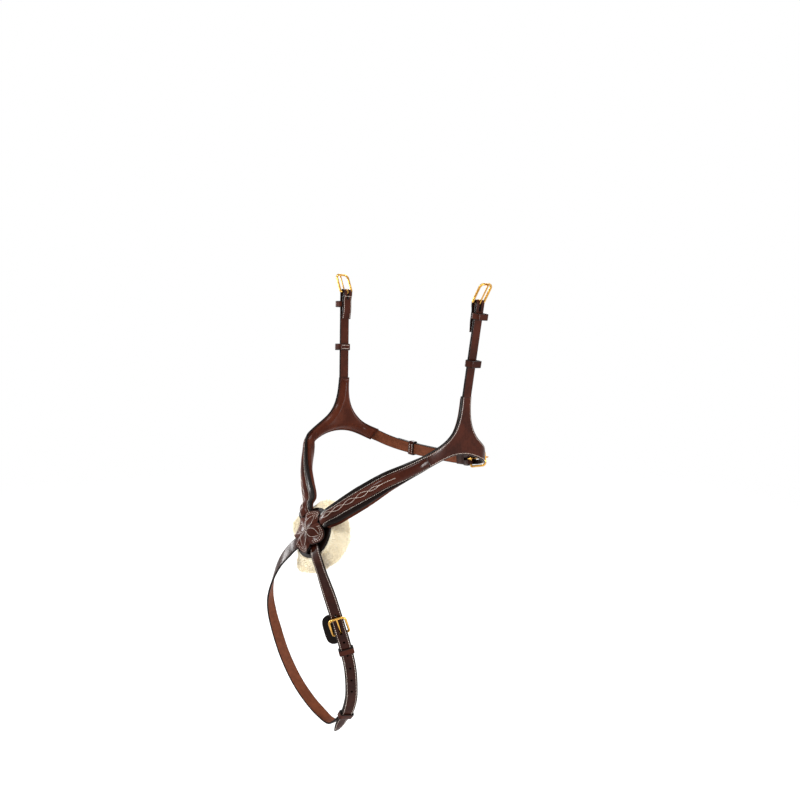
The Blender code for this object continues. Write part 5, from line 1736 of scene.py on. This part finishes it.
def fleece():
    """The body and the pile that grows where the base doesn't cover it."""
    body = fleece_body()
    grown = placed("fleece_pile", body.data.copy())
    mesh = bmesh.new()
    mesh.from_mesh(grown.data)
    covered = [face for face in mesh.faces if under_base(face.calc_center_median())]
    bmesh.ops.delete(mesh, geom=covered, context="FACES")
    mesh.to_mesh(grown.data)
    mesh.free()
    lock = lock_shape()
    run_tree(grown, wool_tree(), {**LOCKS, "Lock": lock, "Wool": WOOL})
    bpy.data.objects.remove(lock)
    grown.data.shade_smooth()
    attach(grown, BODY)
    dress(body, "fleece_pad")
    print("fleece pile:", len(grown.data.polygons), "faces")


fleece()

# %% [markdown]
# ## Buckled straps
# The jaw strap and the chin loop are made alike. One strap folds round the buckle's bar, and the other,
# the billet, comes through the frame and lies on it. The billet's level is that of the folded strap's
# face below the bar, and it sinks to the route above it. Its holes are punched with a round drift, and the
# one in use is stretched. Only the chin loop shows stitching.

# %% Billets
BILLET_LEVEL = DEEP + CLEARANCE + BILLET_THICKNESS / 2
BILLET_DESCENT = 16.5 * MM
BILLET_POINT_LENGTH = 9.0 * MM
BILLET_POINT_SHARE = 0.30
BILLET_ROWS_FROM = 3.0 * MM
BILLET_THREAD_SINK = 0.18 * MM
HOLE_PITCH = 15.5 * MM
HOLE_RADIUS = 1.3 * MM
HOLE_SIDES = 24
TONGUE_HOLE_LENGTH = 13.0 * MM
TONGUE_HOLE_WIDTH = 2.9 * MM
CROSSING_STEPS = 160


class Buckled:
    """The places that a folded strap, its billet, its buckle and its keepers share."""

    def __init__(self, word, route, bar):
        self.word = word
        self.route = route
        self.bar = bar
        centre, _, side, out = route.frame(bar)
        centre = centre - out * FOLD_RADIUS
        self.front = bar + FRAME_LENGTH
        over = self.level(self.front) + BILLET_THICKNESS / 2 + FRAME_REST + WIRE_RADIUS
        way = (route.at(self.front, 0.0, over) - centre).normalized()
        side = (side - way * side.dot(way)).normalized()
        self.held = (centre, way, side, way.cross(side))
        self.crossing = self.front
        for s in evenly(bar, self.front, CROSSING_STEPS):
            if (route.at(s, 0.0, self.level(s)) - centre).dot(self.held[3]) < TONGUE_LIFT:
                self.crossing = s
                break

    def level(self, s):
        past = (s - self.bar - FOLD_RADIUS - DEEP) / BILLET_DESCENT
        return BILLET_LEVEL * (1 - eased(past))

    def billet(self, name, tip, last, free_from, free_radius, holes, stitched, finish):
        """The billet with its rounded point and its holes."""
        deep = BILLET_THICKNESS / 2

        def level(s):
            return self.level(s) + max(0.0, free_from - s)**2 / (2 * free_radius)

        def width(s):
            share = min(1.0, max(0.0, (s - tip) / BILLET_POINT_LENGTH))
            return STRAP_WIDTH * (BILLET_POINT_SHARE + (1 - BILLET_POINT_SHARE) * sqrt(share * (2 - share)))

        def shape(s):
            return {"width": width(s), "low": level(s) - deep, "high": level(s) + deep,
                    "furrow": FURROW_DEPTH if stitched else 0.0}

        piece = strap(name, self.route, tip, last, shape, finish)
        above, below = holes
        stretch = (TONGUE_HOLE_LENGTH - TONGUE_HOLE_WIDTH) / 2
        cutters = [self.hole(self.crossing + HOLE_PITCH * step, level, HOLE_RADIUS, 0.0)
                   for step in range(-below, above + 1) if step]
        cutters.append(self.hole(self.crossing, level, TONGUE_HOLE_WIDTH / 2, stretch))
        dress(carve(piece, cutters), name)
        if stitched:
            rows = [self.route.row(tip + BILLET_ROWS_FROM, last,
                                   lambda s: sign * (width(s) / 2 - FURROW_AT * MM),
                                   lambda s: level(s) + deep - BILLET_THREAD_SINK) for sign in (-1, 1)]
            sew(self.word + "_thread", rows)

    def hole(self, s, level, radius, stretch):
        """A cutter for a round or stretched hole, square through the billet."""
        point, way, side, out = self.route.frame(s)
        points = []
        for depth in (-BILLET_THICKNESS, BILLET_THICKNESS):
            for angle in around(HOLE_SIDES):
                along = radius * cos(angle) + (stretch if cos(angle) > 0 else -stretch)
                points.append(point + way * along + side * (radius * sin(angle)) + out * (level(s) + depth))
        return points, [*ring_faces(2, HOLE_SIDES), range(HOLE_SIDES), range(HOLE_SIDES, 2 * HOLE_SIDES)]

    def fittings(self, keeper_at, runner_at):
        """The buckle, and the keepers that hold the billet down."""
        buckle(self.word, *self.held)
        high = BILLET_LEVEL + BILLET_THICKNESS / 2 + KEEPER_FIT
        keepers(self.word, self.route, keeper_at, runner_at, high)


print("a billet lies", round(BILLET_LEVEL / MM, 2), "mm above the strap's middle")

# %% [markdown]
# ## The jaw strap
# The jaw strap runs from the off side piece behind the jaw to the near one, where its buckle is. The other
# end comes through the buckle and lies along the strap almost to the off side.

# %% The jaw strap
JAW_BACK = 43.0 * MM
JAW_DROP = 180.0 * MM
JAW_BEND_SHARES = ((-0.80, 0.50), (-0.46, 0.88), (0.0, 1.0), (0.46, 0.88), (0.80, 0.50))
JAW_BAR_SHARE = 0.15
JAW_TURN_BACK = 24.0 * MM
JAW_KEEPER_FROM_BAR = 11.0 * MM
JAW_RUNNER_SHARE = 0.70
JAW_TIP_SHARE = 0.86
JAW_TIP_RADIUS = 400.0 * MM
JAW_HOLES = (0, 4)


def jaw_route():
    """From the off rear arm, behind the jaw, to the near rear arm."""
    ends = []
    for hand in (OFF, NEAR):
        point, facing = side_point(hand, SIDE_REAR_BACK, -SIDE_REAR_DROP)
        further, _ = side_point(hand, SIDE_REAR_BACK + cos(SIDE_REAR_SLOPE) * MM,
                                -SIDE_REAR_DROP - sin(SIDE_REAR_SLOPE) * MM)
        ends.append((point, facing, (further - point).normalized()))
    (off, off_facing, off_way), (near, near_facing, near_way) = ends
    points, facings = [off], [off_facing]
    for across, depth in JAW_BEND_SHARES:
        points.append(Vector((near.x * across, near.y + (JAW_BACK - near.y) * depth,
                              near.z + (-JAW_DROP - near.z) * depth)))
        facings.append(Vector((across * abs(across), 1.0, 0.0)))
    return Route([*points, near], [*facings, near_facing], off_way, -near_way)


jaw_path = jaw_route()
jaw = Buckled("jaw", jaw_path, jaw_path.length * (1 - JAW_BAR_SHARE))
# The jaw strap's dark brown is partly painted shade for its turned-back end, which lies in shadow.
folded_strap("jaw_strap", jaw_path, -TUCK, jaw.bar, JAW_TURN_BACK, DARK_GRAIN)
jaw_runner_at = jaw_path.length * (1 - JAW_RUNNER_SHARE)
# The billet's nearly black back is painted shade where its end lies by the buckle.
jaw.billet("jaw_billet", jaw_path.length * (1 - JAW_TIP_SHARE), jaw_path.length + TUCK,
           jaw_runner_at - RUNNER_LENGTH / 2, JAW_TIP_RADIUS, JAW_HOLES, False, BILLET_GRAIN)
jaw.fittings(jaw.bar - JAW_KEEPER_FROM_BAR, jaw_runner_at)
print("jaw strap:", round(jaw_path.length / MM, 1), "mm")

# %% [markdown]
# ## The chin loop
# The loop starts under the rosette's cover on the off side, hangs round the chin and comes back to a
# buckle on the near side. It twists as it goes, so each point of its route also says which way the strap's
# outside looks. A wide flap of leather keeps the buckle off the skin.

# %% The chin loop
CHIN_SPREAD = 66.0 * MM
CHIN_DROP = 221.0 * MM
CHIN_LEAN = 28.0 * MM
CHIN_TURN_BACK = 30.0 * MM
CHIN_BAR_SHARE = 0.220
CHIN_KEEPER_FROM_BAR = 19.0 * MM
CHIN_RUNNER_SHARE = 0.434
CHIN_TIP_SHARE = 0.480
CHIN_TIP_RADIUS = 26.0 * MM
CHIN_EXIT_HEIGHT = 1.0 * MM
CHIN_RIM_HEIGHT = 0.9 * MM
CHIN_HOLES = (1, 5)
CHIN_SHARES = (
    ((-0.58, -0.39, 0.163), (-0.46, -0.86, 0.22)),
    ((-0.77, -0.45, 0.266), (-0.75, -0.65, 0.04)),
    ((-0.89, -0.385, 0.362), (-0.92, -0.38, -0.04)),
    ((-0.945, -0.21, 0.457), (-0.96, -0.12, -0.14)),
    ((-0.95, -0.01, 0.547), (-0.95, 0.01, -0.22)),
    ((-0.855, 0.225, 0.688), (-0.91, 0.06, -0.38)),
    ((-0.58, 0.55, 0.856), (-0.82, 0.14, -0.54)),
    ((-0.30, 0.82, 0.950), (-0.66, 0.16, -0.72)),
    ((-0.07, 0.96, 0.988), (-0.20, 0.00, -0.98)),
    ((0.195, 1.01, 0.938), (0.52, -0.28, -0.80)),
    ((0.41, 0.94, 0.828), (0.78, -0.50, -0.36)),
    ((0.51, 0.77, 0.731), (0.80, -0.58, -0.12)),
    ((0.575, 0.55, 0.623), (0.79, -0.61, 0.00)),
    ((0.57, 0.34, 0.521), (0.78, -0.62, 0.03)),
    ((0.545, 0.12, 0.424), (0.76, -0.65, 0.05)),
    ((0.505, -0.185, 0.290), (0.68, -0.72, 0.08)),
)


def chin_route():
    """Out from under the cover on the off side, round the loop and back in on the near side."""
    height = CLEARANCE + DEEP
    levels = ((TAB_END_RADIUS, height), (NOTCH_RADIUS, height + CLEARANCE),
              (BASE_RADIUS, height + CHIN_EXIT_HEIGHT), (FLEECE_RADIUS, CHIN_RIM_HEIGHT))
    points = [notch_point(-1, -1, radius, level) for radius, level in levels]
    facings = [OUTWARD] * len(levels)
    for (x, y, z), facing in CHIN_SHARES:
        points.append(ROSETTE + Vector((x * CHIN_SPREAD, y * CHIN_LEAN, -z * CHIN_DROP)))
        facings.append(Vector(facing))
    points += [notch_point(1, -1, radius, level) for radius, level in reversed(levels)]
    return Route(points, facings + [OUTWARD] * len(levels))


chin_path = chin_route()
chin = Buckled("chin", chin_path, chin_path.length * (1 - CHIN_BAR_SHARE))
# The chin loop's dark brown is partly painted shade for its undersides, which face away from the light.
folded_strap("off_chin_strap", chin_path, 0.0, chin.bar, CHIN_TURN_BACK, DARK_GRAIN)
sew("off_chin_thread", turn_back_rows(chin_path, chin.bar, CHIN_TURN_BACK))
chin_runner_at = chin_path.length * (1 - CHIN_RUNNER_SHARE)
# The billet's dark brown is partly painted shade for its lower part, which faces away from the light.
chin.billet("near_chin_billet", chin_path.length * (1 - CHIN_TIP_SHARE), chin_path.length,
            chin_runner_at - RUNNER_LENGTH / 2, CHIN_TIP_RADIUS, CHIN_HOLES, True, DARK_GRAIN)
chin.fittings(chin.bar - CHIN_KEEPER_FROM_BAR, chin_runner_at)
print("chin loop:", round(chin_path.length / MM, 1), "mm")

# %% [markdown]
# The flap is a plain strap with round ends, sewn behind the buckle and set off to one side, where it keeps
# the brass off the skin.

# %% The flap behind the chin buckle
GUARD_WIDTH = 23.0 * MM
GUARD_LENGTH = 34.0 * MM
GUARD_THICKNESS = 1.6 * MM
GUARD_SHIFT = 5.5 * MM
GUARD_BELOW_SHARE = 0.37
GUARD_END_SHARE = 0.28
GUARD_RINGS = 41


def guard():
    level = -2 * FOLD_RADIUS - DEEP - CLEARANCE - GUARD_THICKNESS / 2
    first = chin.bar - GUARD_LENGTH * GUARD_BELOW_SHARE
    rows = []
    for share in ((1 - np.cos(np.linspace(0.0, pi, GUARD_RINGS))) / 2).tolist():
        s = first + GUARD_LENGTH * share
        pull, near = end_pull(s, first, first + GUARD_LENGTH)
        bulge = sqrt(max(0.0, 1 - (2 * share - 1)**4))
        width = GUARD_WIDTH * (GUARD_END_SHARE + (1 - GUARD_END_SHARE) * bulge)
        ring = section(width, level - GUARD_THICKNESS / 2, level + GUARD_THICKNESS / 2, pull)
        rows.append(laid(ring, lambda x, y: chin_path.at(s, x + GUARD_SHIFT, y), near))
    return dress(loft("chin_guard", rows, BLACK_GRAIN), "chin_guard")


piece = guard()
print("flap:", len(piece.data.polygons), "faces")

# %% [markdown]
# ## Light, floor and camera
# The photograph is a studio picture on white with large soft lights. The world is white to the camera and
# in reflections, and dimmer as light, and five oblong lamps give the leather its highlights: from the
# front above, from the near cheek's side, from the left, from the top and from behind. The floor is pale,
# keeps the shadow and fades into the white. The camera stands where the photograph was taken: in front of
# the near cheek and a little above.

# %% The studio
CAMERA_PLACE = Vector((0.875, -0.888, 0.0997))
CAMERA_AZIMUTH = radians(45.0)
CAMERA_ELEVATION = radians(9.7)
CAMERA_LENS = 51.75
FLOOR_BELOW = 60.0 * MM
FLOOR_RADIUS = 1.6
FLOOR_TURNS = 96
WORLD_LIGHT = 0.42
WHITE = (1, 1, 1, 1)
PAPER = (0.93, 0.93, 0.93, 1)
LAMPS = (
    ("key", (-0.2, -1.5, 1.2), (0.4, 0.4), 24.0),
    ("cheek", (1.5, 0.6, -0.15), (0.32, 0.4), 19.0),
    ("left", (-1.4, -0.6, 0.0), (0.35, 0.45), 16.0),
    ("top", (0.0, -0.1, 1.5), (0.35, 0.35), 12.0),
    ("back", (-0.9, 1.3, 0.6), (0.6, 0.6), 10.0),
)


def studio_world():
    world = bpy.data.worlds.new("studio")
    world.use_nodes = True
    bpy.context.scene.world = world
    tree = Tree(world.node_tree)
    rays = tree.node("ShaderNodeLightPath", output="Is Camera Ray")
    seen = tree.math("MAXIMUM", rays, rays["Is Glossy Ray"])
    seen = tree.math("MAXIMUM", seen, rays["Is Transmission Ray"])
    light = tree.node("ShaderNodeBackground", values={"Color": WHITE, "Strength": WORLD_LIGHT})
    white = tree.node("ShaderNodeBackground", values={"Color": WHITE, "Strength": 1.0})
    both = tree.node("ShaderNodeMixShader", values=[seen, light, white])
    tree.node("ShaderNodeOutputWorld", values={"Surface": both})


def aimed(made, place, back, front, up):
    """Puts a lamp or the camera in its place, with its back turned to a direction."""
    made.location = place
    made.rotation_mode = "QUATERNION"
    made.rotation_quaternion = back.to_track_quat(front, up)
    return made


def lamp(name, place, size, power, aim):
    data = bpy.data.lights.new(name, "AREA")
    data.shape = "RECTANGLE"
    data.size, data.size_y = size
    data.energy = power
    aimed(placed(name, data), place, Vector(place) - Vector(aim), "Z", "Y")


def studio_floor(level):
    made, tree = new_finish("pale_floor")
    parts = tree.node("ShaderNodeSeparateXYZ", values=[tree.place()])
    away = (parts**2 + parts["Y"]**2)**0.5
    paper = tree.node("ShaderNodeBsdfDiffuse", values={"Color": PAPER})
    clear = tree.node("ShaderNodeBsdfTransparent")
    faded = tree.step(away, FLOOR_RADIUS * 0.35, FLOOR_RADIUS * 0.98)
    both = tree.node("ShaderNodeMixShader", values=[faded, paper, clear])
    tree.node("ShaderNodeOutputMaterial", values={"Surface": both})
    rim = [(FLOOR_RADIUS * cos(a), FLOOR_RADIUS * sin(a), level) for a in around(FLOOR_TURNS)]
    data = mesh_of("floor", rim, [range(FLOOR_TURNS)])
    data.materials.append(made)
    floor = placed("floor", data)
    floor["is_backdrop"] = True


def camera():
    data = bpy.data.cameras.new("camera")
    data.lens = CAMERA_LENS
    level = cos(CAMERA_ELEVATION)
    back = Vector((sin(CAMERA_AZIMUTH) * level, -cos(CAMERA_AZIMUTH) * level, sin(CAMERA_ELEVATION)))
    bpy.context.scene.camera = aimed(placed("camera", data), CAMERA_PLACE, -back, "-Z", "Y")


middle = (CAD_BOX[0] + CAD_BOX[1]) / 2
studio_world()
studio_floor(CAD_BOX[0].z - FLOOR_BELOW)
for name, place, size, power in LAMPS:
    lamp(name, place, size, power, middle)
camera()
bpy.context.scene.view_settings.view_transform = "Standard"
print("lamps:", len(LAMPS), "round the middle at", tuple(round(v, 3) for v in middle))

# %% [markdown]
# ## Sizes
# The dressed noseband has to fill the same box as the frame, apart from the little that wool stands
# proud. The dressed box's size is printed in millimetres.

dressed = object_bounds()
print("box in mm:", [round((dressed[1][i] - dressed[0][i]) / MM, 1) for i in range(3)])
